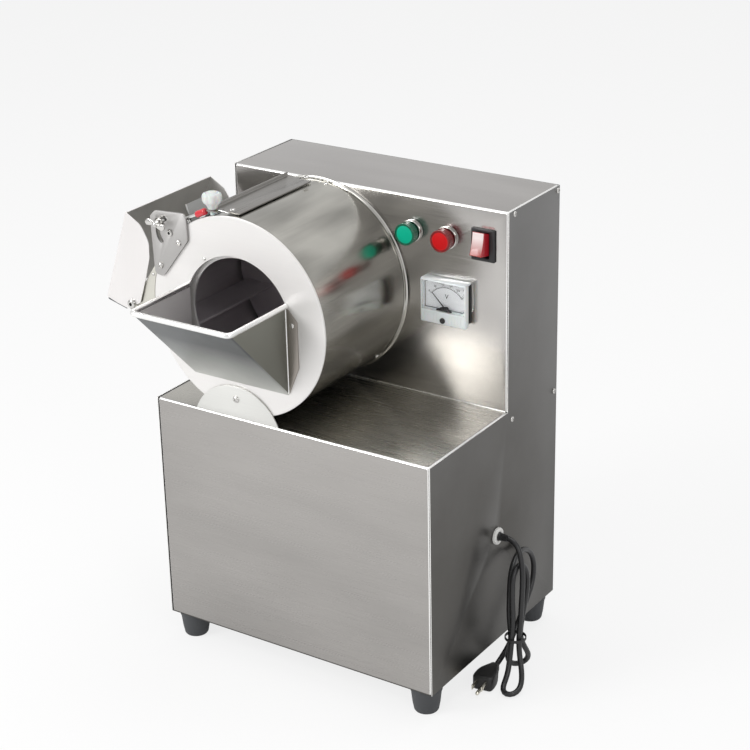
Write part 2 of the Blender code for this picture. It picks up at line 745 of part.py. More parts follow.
def rotor():
    pivot = (drum_x, disc_front, drum_z)
    along = (0, 1, 0)
    bore = shaft_radius + gap
    profile = [(bore, -hub_length), (hub_radius, -hub_length), (hub_radius, 0), (rotor_radius, 0),
               (rotor_radius, rotor_plate), (bore, rotor_plate)]
    disc = turned("rotor_disc", profile, pivot, along, stainless, 48)
    profile = [(rotor_eye_radius, 0), (rotor_radius, 0), (rotor_radius, rotor_plate),
               (rotor_eye_radius, rotor_plate)]
    turned("rotor_front_ring", profile, (drum_x, rotor_front, drum_z), along, polished, 48, pivot)
    lean = math.radians(vane_lean)
    vane_front = rotor_front + rotor_plate + gap
    for i in range(vane_count):
        inner = Vector((rotor_eye_radius + 0.002, 0))
        outer = Vector((rotor_radius - 0.001, 0)) - inner
        outer = Matrix.Rotation(-lean, 2) @ (outer * math.cos(lean))
        across = Vector((-outer.y, outer.x)).normalized() * (rotor_plate / 2)
        corners = [inner + across, inner - across, inner + outer - across, inner + outer + across]
        turn = Matrix.Rotation(math.radians(360 * i / vane_count + vane_turn), 2)
        outline = [(drum_x + (turn @ c).x, drum_z + (turn @ c).y) for c in corners]
        weld(disc, prism(f"vane_{i}", outline, "y", vane_front, disc_front + rotor_plate / 2))

    shaft_front = disc_front - hub_length - nose_length
    long = shaft_back - shaft_front
    turned("rotor_shaft", [(0, 0), (shaft_radius, 0), (shaft_radius, long), (0, long)],
           (drum_x, shaft_front, drum_z), along, polished, 24, pivot)
    face = disc_front - hub_length - gap
    sides = [(drum_x + nut_radius * math.cos(math.radians(60 * k)),
              drum_z + nut_radius * math.sin(math.radians(60 * k))) for k in range(6)]
    nut = prism("rotor_nut", sides, "y", face - nut_thick, face, polished, pivot)
    hole(nut, (drum_x, face, drum_z), along, bore, 2 * nut_thick, 24)
    pulley("driven_pulley", driven_radius, shaft_radius, (drum_x, belt_y, drum_z))


def pulley(name, radius, bore, place):
    half = belt_width / 2 + gap
    rim = pulley_width / 2
    floor = radius - belt_height / 2
    edge = radius + 0.0025
    low = bore + gap
    profile = [(low, -rim), (edge, -rim), (edge, -half), (floor, -half), (floor, half), (edge, half),
               (edge, rim), (low, rim)]
    return turned(name, profile, place, (0, 1, 0), cast_metal, 48)


def belt_loop(grow):
    """The belt's path round both pulleys, moved outward by grow."""
    reach = Vector((motor_x - drum_x, motor_z - drum_z))
    heading = math.degrees(math.atan2(reach.y, reach.x))
    wrap = math.degrees(math.acos((driven_radius - motor_pulley_radius) / reach.length))
    upper = arc(axis_place, driven_radius + grow, heading + wrap, heading + 360 - wrap, 32)
    lower = arc((motor_x, motor_z), motor_pulley_radius + grow, heading - wrap, heading + wrap, 22)
    return upper + lower


# Bearings, belt and motor
bearing_wide = 0.010
bearing_wall = 0.0085
bearing_step = 0.002
housing_flange = 0.010
housing_neck = 0.78
motor_dome = 0.012
motor_setback = 0.030
motor_shaft_radius = 0.007
cradle_half = 0.070
cradle_base = 0.005
cradle_inset = 0.020


def bearings():
    along = (0, 1, 0)
    outer = shaft_radius + bearing_wall
    bore = outer + gap
    neck = housing_radius * housing_neck
    flange = housing_radius + housing_flange
    profile = [(bore, 0), (flange, 0), (flange, 0.006), (neck, 0.010), (neck, housing_length),
               (bore, housing_length)]
    turned("bearing_housing", profile, (drum_x, housing_front, drum_z), along, cast_metal, 32)
    low = shaft_radius + gap
    ring = [(low, 0), (outer, 0), (outer, bearing_wide), (low, bearing_wide)]
    for name, start in (("front", bearing_step), ("rear", housing_length - bearing_wide - bearing_step)):
        turned(f"bearing_{name}", ring, (drum_x, housing_front + start, drum_z), along, dark_steel, 32)


def drive():
    along = (0, 1, 0)
    half = belt_width / 2
    belt = prism("drive_belt", belt_loop(belt_height / 2), "y", belt_y - half, belt_y + half, black_plastic)
    cut(belt, prism("belt_space", belt_loop(gap - belt_height / 2), "y", belt_y - 2 * half,
                    belt_y + 2 * half))

    motor_back = belt_y - motor_setback
    start = motor_back - motor_length
    cap = motor_radius * 0.86
    profile = [(0, 0), (cap, 0), (motor_radius, motor_dome), (motor_radius, motor_length - motor_dome),
               (cap, motor_length), (0, motor_length)]
    turned("motor_body", profile, (motor_x, start, motor_z), along, motor_paint, 32)
    bore = motor_shaft_radius
    long = belt_y + pulley_width / 2 + 0.004 - motor_back - gap
    turned("motor_shaft", [(0, 0), (bore, 0), (bore, long), (0, long)],
           (motor_x, motor_back + gap, motor_z), along, polished, 20)
    pulley("motor_pulley", motor_pulley_radius, bore, (motor_x, belt_y, motor_z))

    base = floor_sheet_top + gap
    shelf = base + cradle_base
    seat = arc((motor_x, motor_z), motor_radius + gap, 310, 230, 12)
    outline = [(motor_x - cradle_half, base), (motor_x + cradle_half, base), (motor_x + cradle_half, shelf),
               (seat[0][0], shelf)] + seat + [(seat[-1][0], shelf), (motor_x - cradle_half, shelf)]
    prism("motor_cradle", outline, "y", start + cradle_inset, motor_back - cradle_inset, cast_metal)


# Controls
neck_radius = 0.011
neck_length = 0.028
neck_wall = 0.0016
bezel_height = 0.0046
bezel_lip = 0.002
cap_height = 0.0160
start_x = right - free_width * start_share
stop_x = right - free_width * stop_share
button_z = bottom + button_height
rocker_middle = (right - free_width * rocker_share, button_z)
rocker_frame_half = (0.016, 0.020)
rocker_body_half = (0.0108, 0.0183)
rocker_window_half = (0.0086, 0.0163)
rocker_depth = 0.022
rocker_pivot_depth = 0.003
rocker_body_depth = 0.006
rocker_swing = 30
rocker_reach = 0.0210
rocker_dish = 0.0014
rocker_half = 0.0143
rocker_heel = 0.0126
meter_middle = (right - free_width * meter_share, bottom + meter_height)
meter_can_radius = 0.0235
meter_can_depth = 0.032
meter_wall = 0.0025
meter_sill = 0.012
meter_floor = 0.0045
lens_thick = 0.0013
needle_drop = 0.010
needle_length = 0.0265
needle_rest = 135
zero_rise = 0.006
gland_neck = 0.0078


def rectangle(middle, half):
    x, z = middle
    wide, tall = half
    return [(x - wide, z - tall), (x + wide, z - tall), (x + wide, z + tall), (x - wide, z + tall)]


def push_button(name, x, surface):
    place = (x, console, button_z)
    bore = neck_radius - neck_wall
    well = button_radius - bezel_lip
    seat = 0.001
    profile = [(bore, -neck_length), (neck_radius, -neck_length), (neck_radius, gap), (button_radius, gap),
               (button_radius, bezel_height - 0.0008), (button_radius - 0.0008, bezel_height),
               (well, bezel_height), (well, seat), (bore, seat)]
    turned(f"{name}_bezel", profile, place, (0, -1, 0), white_plastic, 28)
    under = seat + button_travel + gap
    cap = well - gap
    profile = [(0, -0.008), (bore - gap, -0.008), (bore - gap, under), (cap, under), (cap, cap_height),
               (cap - 0.0015, cap_height + 0.0018), (0, cap_height + 0.0032)]
    turned(f"{name}_cap", profile, place, (0, -1, 0), surface, 28)


def rocker():
    x, z = rocker_middle
    outline = softened(rectangle(rocker_middle, rocker_frame_half), 0.002)
    bezel = prism("rocker_bezel", outline, "y", console - 0.0032, console - gap, black_plastic)
    weld(bezel, prism("rocker_body", rectangle(rocker_middle, rocker_body_half), "y", console - 0.002,
                      console + rocker_depth))
    cut(bezel, prism("rocker_well", rectangle(rocker_middle, rocker_window_half), "y", console - through,
                     console + rocker_depth - 0.002))
    wide = rocker_window_half[0] - gap * 2
    pivot = (x, console + rocker_pivot_depth, z)
    rest = math.radians(rocker_swing / 2)
    profile = [(-rocker_reach, -rocker_half), (rocker_dish - rocker_reach, 0), (-rocker_reach, rocker_half),
               (0, rocker_heel), (rocker_body_depth, 0), (0, -rocker_heel)]
    outline = [(pivot[1] + u * math.cos(rest) + v * math.sin(rest),
                z - u * math.sin(rest) + v * math.cos(rest)) for u, v in profile]
    prism("rocker_paddle", outline, "x", x - wide, x + wide, red_plastic, pivot)


def voltmeter():
    x, z = meter_middle
    wide, tall = meter_width / 2, meter_tall / 2
    face = console - meter_deep
    outline = softened(rectangle(meter_middle, (wide, tall)), 0.0025)
    case = prism("voltmeter_case", outline, "y", face, console - gap, white_plastic)
    profile = [(0, 0), (meter_can_radius, 0), (meter_can_radius, meter_can_depth), (0, meter_can_depth)]
    weld(case, turned("voltmeter_can", profile, (x, console - 0.002, z), (0, 1, 0), steps=32))
    low = (x - wide + meter_wall, face - through, z - tall + meter_sill)
    high = (x + wide - meter_wall, console - meter_floor, z + tall - meter_wall)
    cut(case, box("meter_window", low, high))
    dial_face = high[1] - 0.001
    box("voltmeter_dial", (low[0] + gap, dial_face, low[2] + gap),
        (high[0] - gap, high[1] - gap, high[2] - gap), white_plastic)
    box("voltmeter_lens", (low[0] + gap, face + 0.0002, low[2] + gap),
        (high[0] - gap, face + 0.0002 + lens_thick, high[2] - gap), clear_plastic)

    hub = (x, dial_face - gap, z - needle_drop)
    needle = turned("voltmeter_needle", [(0, 0), (0.003, 0), (0.003, 0.0035), (0, 0.0035)], hub, (0, -1, 0),
                    black_plastic, 16)
    turn = math.radians(needle_rest)
    ahead = Vector((math.cos(turn), math.sin(turn)))
    side = Vector((-ahead.y, ahead.x)) * 0.0006
    base = Vector((hub[0], hub[2]))
    tail = base - ahead * 0.006
    tip = base + ahead * needle_length
    pointer = [tail + side, tail - side, tip - side * 0.3, tip + side * 0.3]
    weld(needle, prism("pointer", [tuple(p) for p in pointer], "y", hub[1] - 0.003, hub[1] - 0.002))
    profile = [(0, 0), (0.0036, 0), (0.0036, 0.0012), (0.003, 0.0018), (0, 0.0018)]
    place = (x, face - gap, z - tall + zero_rise)
    turned("voltmeter_zero_screw", profile, place, (0, -1, 0), black_plastic, 16)


# Mains cord with its bushing, strain relief, tie and plug
relief_length = 0.020
relief_radius = 0.0052
relief_root = 0.004
bushing_radius = 0.0110
bushing_lip = 0.0042
cord_stations = 72
tie_height = 0.058
tie_centre = (0.035, 0.141)
tie_radius = 0.0126
tie_wall = 0.0012
tie_half = 0.002
plug_nose = (0.016, 0.090)
plug_heading = (-0.14, 0.99)
plug_length = 0.048
plug_height = 0.020
plug_rise = 0.0005
blade_length = 0.016
blade_offset = 0.0063
blade_half = (0.00075, 0.0032)
blade_above = 0.003
pin_radius = 0.0024
pin_below = 0.005
# How far the middle of the cord lies outward from the right side, back from the front, and up
cord_route = [
    (0.0163, 0.1540, 0.185), (0.0220, 0.1540, 0.185), (0.029, 0.153, 0.181), (0.035, 0.151, 0.170),
    (0.040, 0.148, 0.152), (0.042, 0.145, 0.130), (0.042, 0.143, 0.106), (0.042, 0.141, 0.082),
    (0.041, 0.139, 0.058), (0.045, 0.134, 0.038), (0.052, 0.127, 0.022), (0.057, 0.116, 0.010),
    (0.056, 0.103, 0.0045), (0.049, 0.096, 0.004), (0.042, 0.102, 0.006), (0.039, 0.114, 0.016),
    (0.036, 0.125, 0.034), (0.034, 0.133, 0.058), (0.035, 0.134, 0.084), (0.034, 0.134, 0.108),
    (0.033, 0.136, 0.130), (0.032, 0.142, 0.146), (0.032, 0.153, 0.152), (0.033, 0.164, 0.144),
    (0.036, 0.167, 0.124), (0.037, 0.162, 0.102), (0.037, 0.154, 0.080), (0.037, 0.149, 0.058),
    (0.038, 0.156, 0.038), (0.037, 0.166, 0.021), (0.033, 0.171, 0.0095), (0.027, 0.166, 0.0045),
    (0.022, 0.155, 0.008), (0.022, 0.146, 0.022), (0.026, 0.143, 0.040), (0.028, 0.142, 0.058),
    (0.026, 0.141, 0.086), (0.025, 0.143, 0.114), (0.021, 0.153, 0.137), (0.016, 0.173, 0.149),
    (0.012, 0.197, 0.149), (0.011, 0.219, 0.136), (0.011, 0.230, 0.115), (0.012, 0.226, 0.092),
    (0.014, 0.207, 0.073), (0.0155, 0.186, 0.056), (0.0150, 0.171, 0.040), (0.0125, 0.162, 0.026),
    (0.0090, 0.154, 0.0155), (0.0084, 0.1440, 0.0108), (0.0092, 0.1379, 0.0105),
]


def smooth_run(points, stations):
    """Points on a smooth curve through the given ones, evenly spaced between its straight ends."""
    knots = [Vector(point) for point in points]
    knots = [2 * knots[0] - knots[1]] + knots + [2 * knots[-1] - knots[-2]]
    fine = []
    for a, b, c, d in zip(knots, knots[1:], knots[2:], knots[3:]):
        for k in range(10):
            t = k / 10
            fine.append(0.5 * (2 * b + (c - a) * t + (2 * a - 5 * b + 4 * c - d) * t ** 2
                               + (3 * b - a - 3 * c + d) * t ** 3))
    ends = fine[0], knots[-2]
    fine = fine[10:-9]
    travelled = [0]
    for a, b in zip(fine, fine[1:]):
        travelled.append(travelled[-1] + (b - a).length)
    spaced = []
    k = 0
    for i in range(stations - 2):
        goal = travelled[-1] * i / (stations - 3)
        while k < len(fine) - 2 and travelled[k + 1] < goal:
            k += 1
        share = (goal - travelled[k]) / (travelled[k + 1] - travelled[k])
        spaced.append(fine[k].lerp(fine[k + 1], min(1, share)))
    return [ends[0], *spaced, ends[1]]


def cord_exit():
    place = (right, front + cord_exit_depth, bottom + cord_exit_height)
    outward = (1, 0, 0)
    inner = relief_radius + gap
    behind = -sheet - relief_root
    profile = [(inner, behind), (gland_neck, behind), (gland_neck, gap), (bushing_radius, gap),
               (bushing_radius, bushing_lip - 0.0012), (bushing_radius - 0.0012, bushing_lip),
               (inner, bushing_lip)]
    turned("cord_bushing", profile, place, outward, white_plastic, 24)
    end = relief_length - relief_root
    profile = [(0, -relief_root), (relief_radius, -relief_root), (relief_radius, 0.006), (0.0043, end),
               (0, end)]
    turned("strain_relief", profile, place, outward, black_plastic, 20)


def cord():
    stations = smooth_run([(right + u, front + v, w) for u, v, w in cord_route], cord_stations)
    tube("power_cord", stations, cord_radius, cord_rubber, 12)
    inner, outer = tie_radius, tie_radius + tie_wall
    profile = [(inner, -tie_half), (outer, -tie_half), (outer, tie_half), (inner, tie_half)]
    middle = (right + tie_centre[0], front + tie_centre[1], tie_height)
    turned("cord_tie", profile, middle, (0, 0, 1), black_plastic, 28)


def plug():
    nose = Vector((right + plug_nose[0], front + plug_nose[1]))
    ahead = Vector(plug_heading).normalized()
    across = Vector((-ahead.y, ahead.x))
    half_shape = [(0, 0.0125), (0.010, 0.0138), (0.024, 0.0125), (0.036, 0.0080), (plug_length, 0.0052)]
    outline = half_shape + [(u, -v) for u, v in half_shape[::-1]]
    outline = [tuple(nose + ahead * u + across * v) for u, v in outline]
    body = prism("plug_body", outline, "z", plug_rise, plug_rise + plug_height, black_plastic)
    rounding = body.modifiers.new("rounding", "BEVEL")
    rounding.width = 0.003
    rounding.segments = 2
    rounding.limit_method = "ANGLE"
    rounding.angle_limit = math.radians(50)
    middle = plug_rise + plug_height / 2
    level = middle + blade_above
    thin, tall = blade_half
    for name, way in (("line", 1), ("neutral", -1)):
        shift = across * blade_offset * way
        near, far = nose + shift + ahead * 0.004, nose + shift - ahead * blade_length
        side = across * thin
        blade = [tuple(p) for p in (near + side, near - side, far - side, far + side)]
        weld(body, prism(f"blade_{name}", blade, "z", level - tall, level + tall))
    profile = [(0, -0.004), (pin_radius, -0.004), (pin_radius, blade_length - 0.001),
               (pin_radius / 2, blade_length + 0.0015), (0, blade_length + 0.0015)]
    place = (nose.x, nose.y, middle - pin_below)
    weld(body, turned("ground_pin", profile, place, (-ahead.x, -ahead.y, 0), steps=12))


cabinet()
feet()
drum()
saddle()
chute()
knife()
handle()
adjuster()
strap()
hopper()
rotor()
bearings()
drive()
push_button("start_button", start_x, green_plastic)
push_button("stop_button", stop_x, red_plastic)
rocker()
voltmeter()
cord_exit()
cord()
plug()
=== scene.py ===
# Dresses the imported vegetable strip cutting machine: camera, studio, finishes and detailed pieces.
import json
import math

import bpy
from mathutils import Matrix, Vector

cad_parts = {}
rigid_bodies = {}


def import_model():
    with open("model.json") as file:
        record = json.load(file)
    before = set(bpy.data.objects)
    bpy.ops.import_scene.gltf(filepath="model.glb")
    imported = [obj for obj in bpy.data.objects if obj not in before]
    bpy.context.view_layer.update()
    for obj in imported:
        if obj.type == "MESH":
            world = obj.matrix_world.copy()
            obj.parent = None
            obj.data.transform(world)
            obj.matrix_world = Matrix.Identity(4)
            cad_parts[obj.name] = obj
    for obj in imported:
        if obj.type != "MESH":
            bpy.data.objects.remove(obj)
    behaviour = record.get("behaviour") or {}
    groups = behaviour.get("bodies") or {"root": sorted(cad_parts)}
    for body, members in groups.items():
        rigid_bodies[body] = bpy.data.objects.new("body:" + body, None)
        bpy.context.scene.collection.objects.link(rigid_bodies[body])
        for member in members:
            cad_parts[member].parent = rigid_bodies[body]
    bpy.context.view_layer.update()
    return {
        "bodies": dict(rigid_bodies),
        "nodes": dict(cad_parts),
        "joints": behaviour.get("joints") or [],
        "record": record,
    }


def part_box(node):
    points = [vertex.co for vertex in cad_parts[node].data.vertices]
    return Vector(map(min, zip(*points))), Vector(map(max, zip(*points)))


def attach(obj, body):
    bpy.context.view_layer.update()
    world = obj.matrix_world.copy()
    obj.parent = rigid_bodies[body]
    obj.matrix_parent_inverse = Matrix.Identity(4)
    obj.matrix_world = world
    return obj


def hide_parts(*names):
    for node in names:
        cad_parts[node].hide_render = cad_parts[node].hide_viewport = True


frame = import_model()
nodes = frame["nodes"]
bpy.ops.object.select_all(action="DESELECT")
print("machine loaded,", len(nodes), "nodes")

# Places on the machine that many pieces share, in metres
machine = {
    "left": -0.1655, "right": 0.2345, "front": -0.097, "back": 0.207,
    "console": 0.083, "bottom": 0.036, "deck": 0.341, "top": 0.596,
    "drumX": -0.034, "drumZ": 0.4715, "drumRadius": 0.125,
    "ringFront": -0.094, "shellBack": 0.0827,
}
gap = 0.0003  # kept between a piece and the sheet that it sits on or in
past = 0.01  # how far a cutter goes past what it cuts


def newObject(name, data):
    made = bpy.data.objects.new(name, data)
    bpy.context.scene.collection.objects.link(made)
    return made


shot = {"place": (1.3075, -1.814, 1.327), "turn": 33.71, "down": 23.21, "roll": -1.27, "lens": 94.4}


def addCamera():
    turn, down, roll = (math.radians(shot[key]) for key in ("turn", "down", "roll"))
    ahead = Vector((-math.sin(turn) * math.cos(down), math.cos(turn) * math.cos(down), -math.sin(down)))
    side = Vector((math.cos(turn), math.sin(turn), 0))
    rise = side.cross(ahead)
    side, rise = (side * math.cos(roll) + rise * math.sin(roll),
                  rise * math.cos(roll) - side * math.sin(roll))
    lens = bpy.data.cameras.new("shotCamera")
    lens.lens = shot["lens"]
    lens.sensor_width = 36
    lens.clip_end = 60
    camera = newObject("shotCamera", lens)
    camera.matrix_world = Matrix.Translation(shot["place"]) @ Matrix(
        (side, rise, -ahead)).transposed().to_4x4()
    bpy.context.scene.camera = camera


addCamera()
print("camera set")


# Studio: a wide pale floor, soft lamps and a pale world
studio = {
    "floorHalf": 9.0, "floorTone": 0.86, "floorWash": 0.80, "floorGloss": 0.30,
    "skyTone": 0.96, "skyGloss": 0.6, "skyFill": 0.50,
    "lamps": [
        # name, place, aimed at, width, height, watts
        ("keyLamp", (-1.9, -2.3, 2.7), (0.0, 0.0, 0.30), 1.7, 1.3, 36),
        ("sideLamp", (2.6, -1.5, 1.9), (0.0, 0.0, 0.35), 1.0, 1.4, 14),
        ("topLamp", (0.2, 0.6, 3.0), (0.0, 0.0, 0.40), 1.6, 1.6, 26),
        ("lowLamp", (-1.25, -2.10, 1.42), (0.1, 0.0, 0.34), 0.9, 0.5, 25),
    ],
}


# a shader node whose inputs are each given a value or another node's output
def addNode(tree, kind, inputs):
    made = tree.nodes.new("ShaderNode" + kind)
    for socket, value in inputs.items():
        if isinstance(value, bpy.types.NodeSocket):
            tree.links.new(value, made.inputs[socket])
        else:
            made.inputs[socket].default_value = value
    return made


def mathOf(tree, operation, first, second):
    made = addNode(tree, "Math", {0: first, 1: second})
    made.operation = operation
    return made.outputs[0]


# lets a ray meet plain white in the share that its kind calls for, and the surface otherwise
def washOver(tree, surface, white, output, onCamera, onGloss):
    path = addNode(tree, "LightPath", {}).outputs
    seen = mathOf(tree, "MULTIPLY", path["Is Camera Ray"], onCamera)
    mirrored = mathOf(tree, "MAXIMUM", path["Is Glossy Ray"], path["Is Transmission Ray"])
    share = mathOf(tree, "MAXIMUM", seen, mathOf(tree, "MULTIPLY", mirrored, onGloss))
    blend = addNode(tree, "MixShader", {0: share, 1: surface.outputs[0], 2: white.outputs[0]})
    tree.links.new(blend.outputs[0], tree.nodes[output].inputs["Surface"])


def newSurface(name, tone, rough, metal=0.0, sockets=()):
    surface = bpy.data.materials.new(name)
    surface.use_nodes = True
    shader = surface.node_tree.nodes["Principled BSDF"]
    for socket, value in {"Base Color": (*tone, 1), "Roughness": rough, "Metallic": metal, **dict(sockets)}.items():
        shader.inputs[socket].default_value = value
    return surface, surface.node_tree, shader


def addStudio():
    bpy.ops.mesh.primitive_plane_add(size=2 * studio["floorHalf"], location=(0, 0, 0))
    floor = bpy.context.object
    floor.name = "studioFloor"
    tone = studio["floorTone"]
    surface, tree, shader = newSurface("floorSurface", (tone, tone, tone * 0.995), 0.9, 0.0,
                                       {"Specular IOR Level": 0.1})
    washOver(tree, shader, addNode(tree, "Emission", {}), "Material Output",
             studio["floorWash"], studio["floorGloss"])
    floor.data.materials.append(surface)

    world = bpy.data.worlds.new("studioWorld")
    bpy.context.scene.world = world
    world.use_nodes = True
    tree = world.node_tree
    sky = tree.nodes["Background"]
    fill, tone = studio["skyFill"], studio["skyTone"]
    sky.inputs["Color"].default_value = (fill, fill, fill * 1.01, 1)
    white = addNode(tree, "Background", {"Color": (tone, tone, tone, 1)})
    washOver(tree, sky, white, "World Output", 1.0, studio["skyGloss"])

    for name, place, aim, width, height, watts in studio["lamps"]:
        light = bpy.data.lights.new(name, "AREA")
        light.shape = "RECTANGLE"
        light.size = width
        light.size_y = height
        light.energy = watts
        lamp = newObject(name, light)
        lamp.location = place
        lamp.rotation_euler = (Vector(aim) - Vector(place)).to_track_quat("-Z", "Y").to_euler()
    bpy.context.scene.view_settings.view_transform = "Standard"


addStudio()
print("studio lit")


# Finishes. Noise over the machine's own coordinates, stretched where a stretch is small
def noiseOn(tree, stretch, scale, detail=3.0, roughness=0.55):
    place = addNode(tree, "TexCoord", {}).outputs["Object"]
    mapping = addNode(tree, "Mapping", {"Scale": stretch, "Vector": place})
    noise = addNode(tree, "TexNoise", {"Scale": scale, "Detail": detail, "Roughness": roughness,
                                       "Vector": mapping.outputs["Vector"]})
    return noise.outputs["Fac"]


def rangeOf(tree, value, low, high, fromLow=0.3, fromHigh=0.7):
    spread = addNode(tree, "MapRange", {"From Min": fromLow, "From Max": fromHigh, "To Min": low,
                                        "To Max": high, "Value": value})
    return spread.outputs[0]


# 0 at the lower height and 1 at the upper one
def heightShare(tree, fromHeight, toHeight):
    place = addNode(tree, "TexCoord", {}).outputs["Object"]
    return rangeOf(tree, addNode(tree, "SeparateXYZ", {"Vector": place}).outputs["Z"], 0, 1, fromHeight, toHeight)


# the colour runs between two tones
def tintBy(tree, shader, factor, dark, light):
    ramp = tree.nodes.new("ShaderNodeMix")
    ramp.data_type = "RGBA"
    ramp.inputs["A"].default_value = (*dark, 1)
    ramp.inputs["B"].default_value = (*light, 1)
    tree.links.new(factor, ramp.inputs["Factor"])
    tree.links.new(ramp.outputs["Result"], shader.inputs["Base Color"])


def tintAround(tree, shader, factor, tone, share):
    tintBy(tree, shader, factor, [part * (1 - share) for part in tone], [min(1, part * (1 + share)) for part in tone])


def roughenBy(tree, shader, value, low, high):
    tree.links.new(rangeOf(tree, value, low, high), shader.inputs["Roughness"])


def bumpFrom(tree, shader, height, strength):
    bump = addNode(tree, "Bump", {"Strength": strength, "Distance": 0.0002, "Height": height})
    tree.links.new(bump.outputs["Normal"], shader.inputs["Normal"])


grainFine, grainLong = 1100, 9  # waves to the metre across the brushing and along it


# sheet steel with fine brushing along one axis and soft handling clouds, which on the drum are strong broad streaks
# along its axis, a painted reflection
def brushedSteel(name, tone, grain, rough, cloud=0.07, metal=1.0, line=0.05, cloudSize=7.0, grainDepth=0.018):
    surface, tree, shader = newSurface(name, tone, rough, metal)
    hair = noiseOn(tree, [grainLong if axis == grain else grainFine for axis in "xyz"], 1.0, 2.0, 0.6)
    haze = noiseOn(tree, [0.6 if axis == grain else 2.2 for axis in "xyz"], cloudSize, 2.0, 0.4)
    total = mathOf(tree, "ADD", rangeOf(tree, hair, 0.5 - line * 4, 0.5 + line * 4),
                   rangeOf(tree, haze, -0.5, 0.5))
    tintAround(tree, shader, total, tone, cloud)
    roughenBy(tree, shader, hair, rough * 0.85, rough * 1.18)
    bumpFrom(tree, shader, hair, grainDepth)
    return surface


def smoothMetal(name, tone, rough, cloud=0.04):
    surface, tree, shader = newSurface(name, tone, rough, 1.0)
    haze = noiseOn(tree, (1, 1, 1), 45.0)
    tintAround(tree, shader, haze, tone, cloud)
    roughenBy(tree, shader, haze, rough * 0.8, rough * 1.25)
    return surface


def mouldedPlastic(name, tone, rough, speckle=0.04, grainSize=900.0, grainDepth=0.05, sockets=()):
    surface, tree, shader = newSurface(name, tone, rough, 0.0, sockets)
    haze = noiseOn(tree, (1, 1, 1), 60.0)
    tintAround(tree, shader, haze, tone, speckle)
    roughenBy(tree, shader, haze, rough * 0.85, rough * 1.15)
    bumpFrom(tree, shader, noiseOn(tree, (1, 1, 1), grainSize, 2.0), grainDepth)
    return surface


# plastic whose colour runs from its lower tone to its upper tone between two heights, its pale upper tone a painted
# highlight
def paintedHighlightPlastic(name, lower, upper, fromHeight, toHeight, rough):
    surface, tree, shader = newSurface(name, lower, rough, 0.0, {"Coat Weight": 0.25, "Transmission Weight": 0.1})
    tintBy(tree, shader, heightShare(tree, fromHeight, toHeight), lower, upper)
    bumpFrom(tree, shader, noiseOn(tree, (1, 1, 1), 400.0, 2.0), 0.04)
    return surface


# sheet steel whose tone runs between two heights: painted reflection of the bench and the room, and painted shade
def paintedReflectionSteel(name, lower, upper, fromHeight, toHeight, rough, metal=0.75):
    surface, tree, shader = newSurface(name, lower, rough, metal)
    haze = rangeOf(tree, noiseOn(tree, (1, 1, 1), 16.0), -0.06, 0.06)
    tintBy(tree, shader, mathOf(tree, "ADD", heightShare(tree, fromHeight, toHeight), haze), lower, upper)
    bumpFrom(tree, shader, noiseOn(tree, (grainFine, grainFine, grainLong), 1.0, 2.0), 0.018)
    return surface


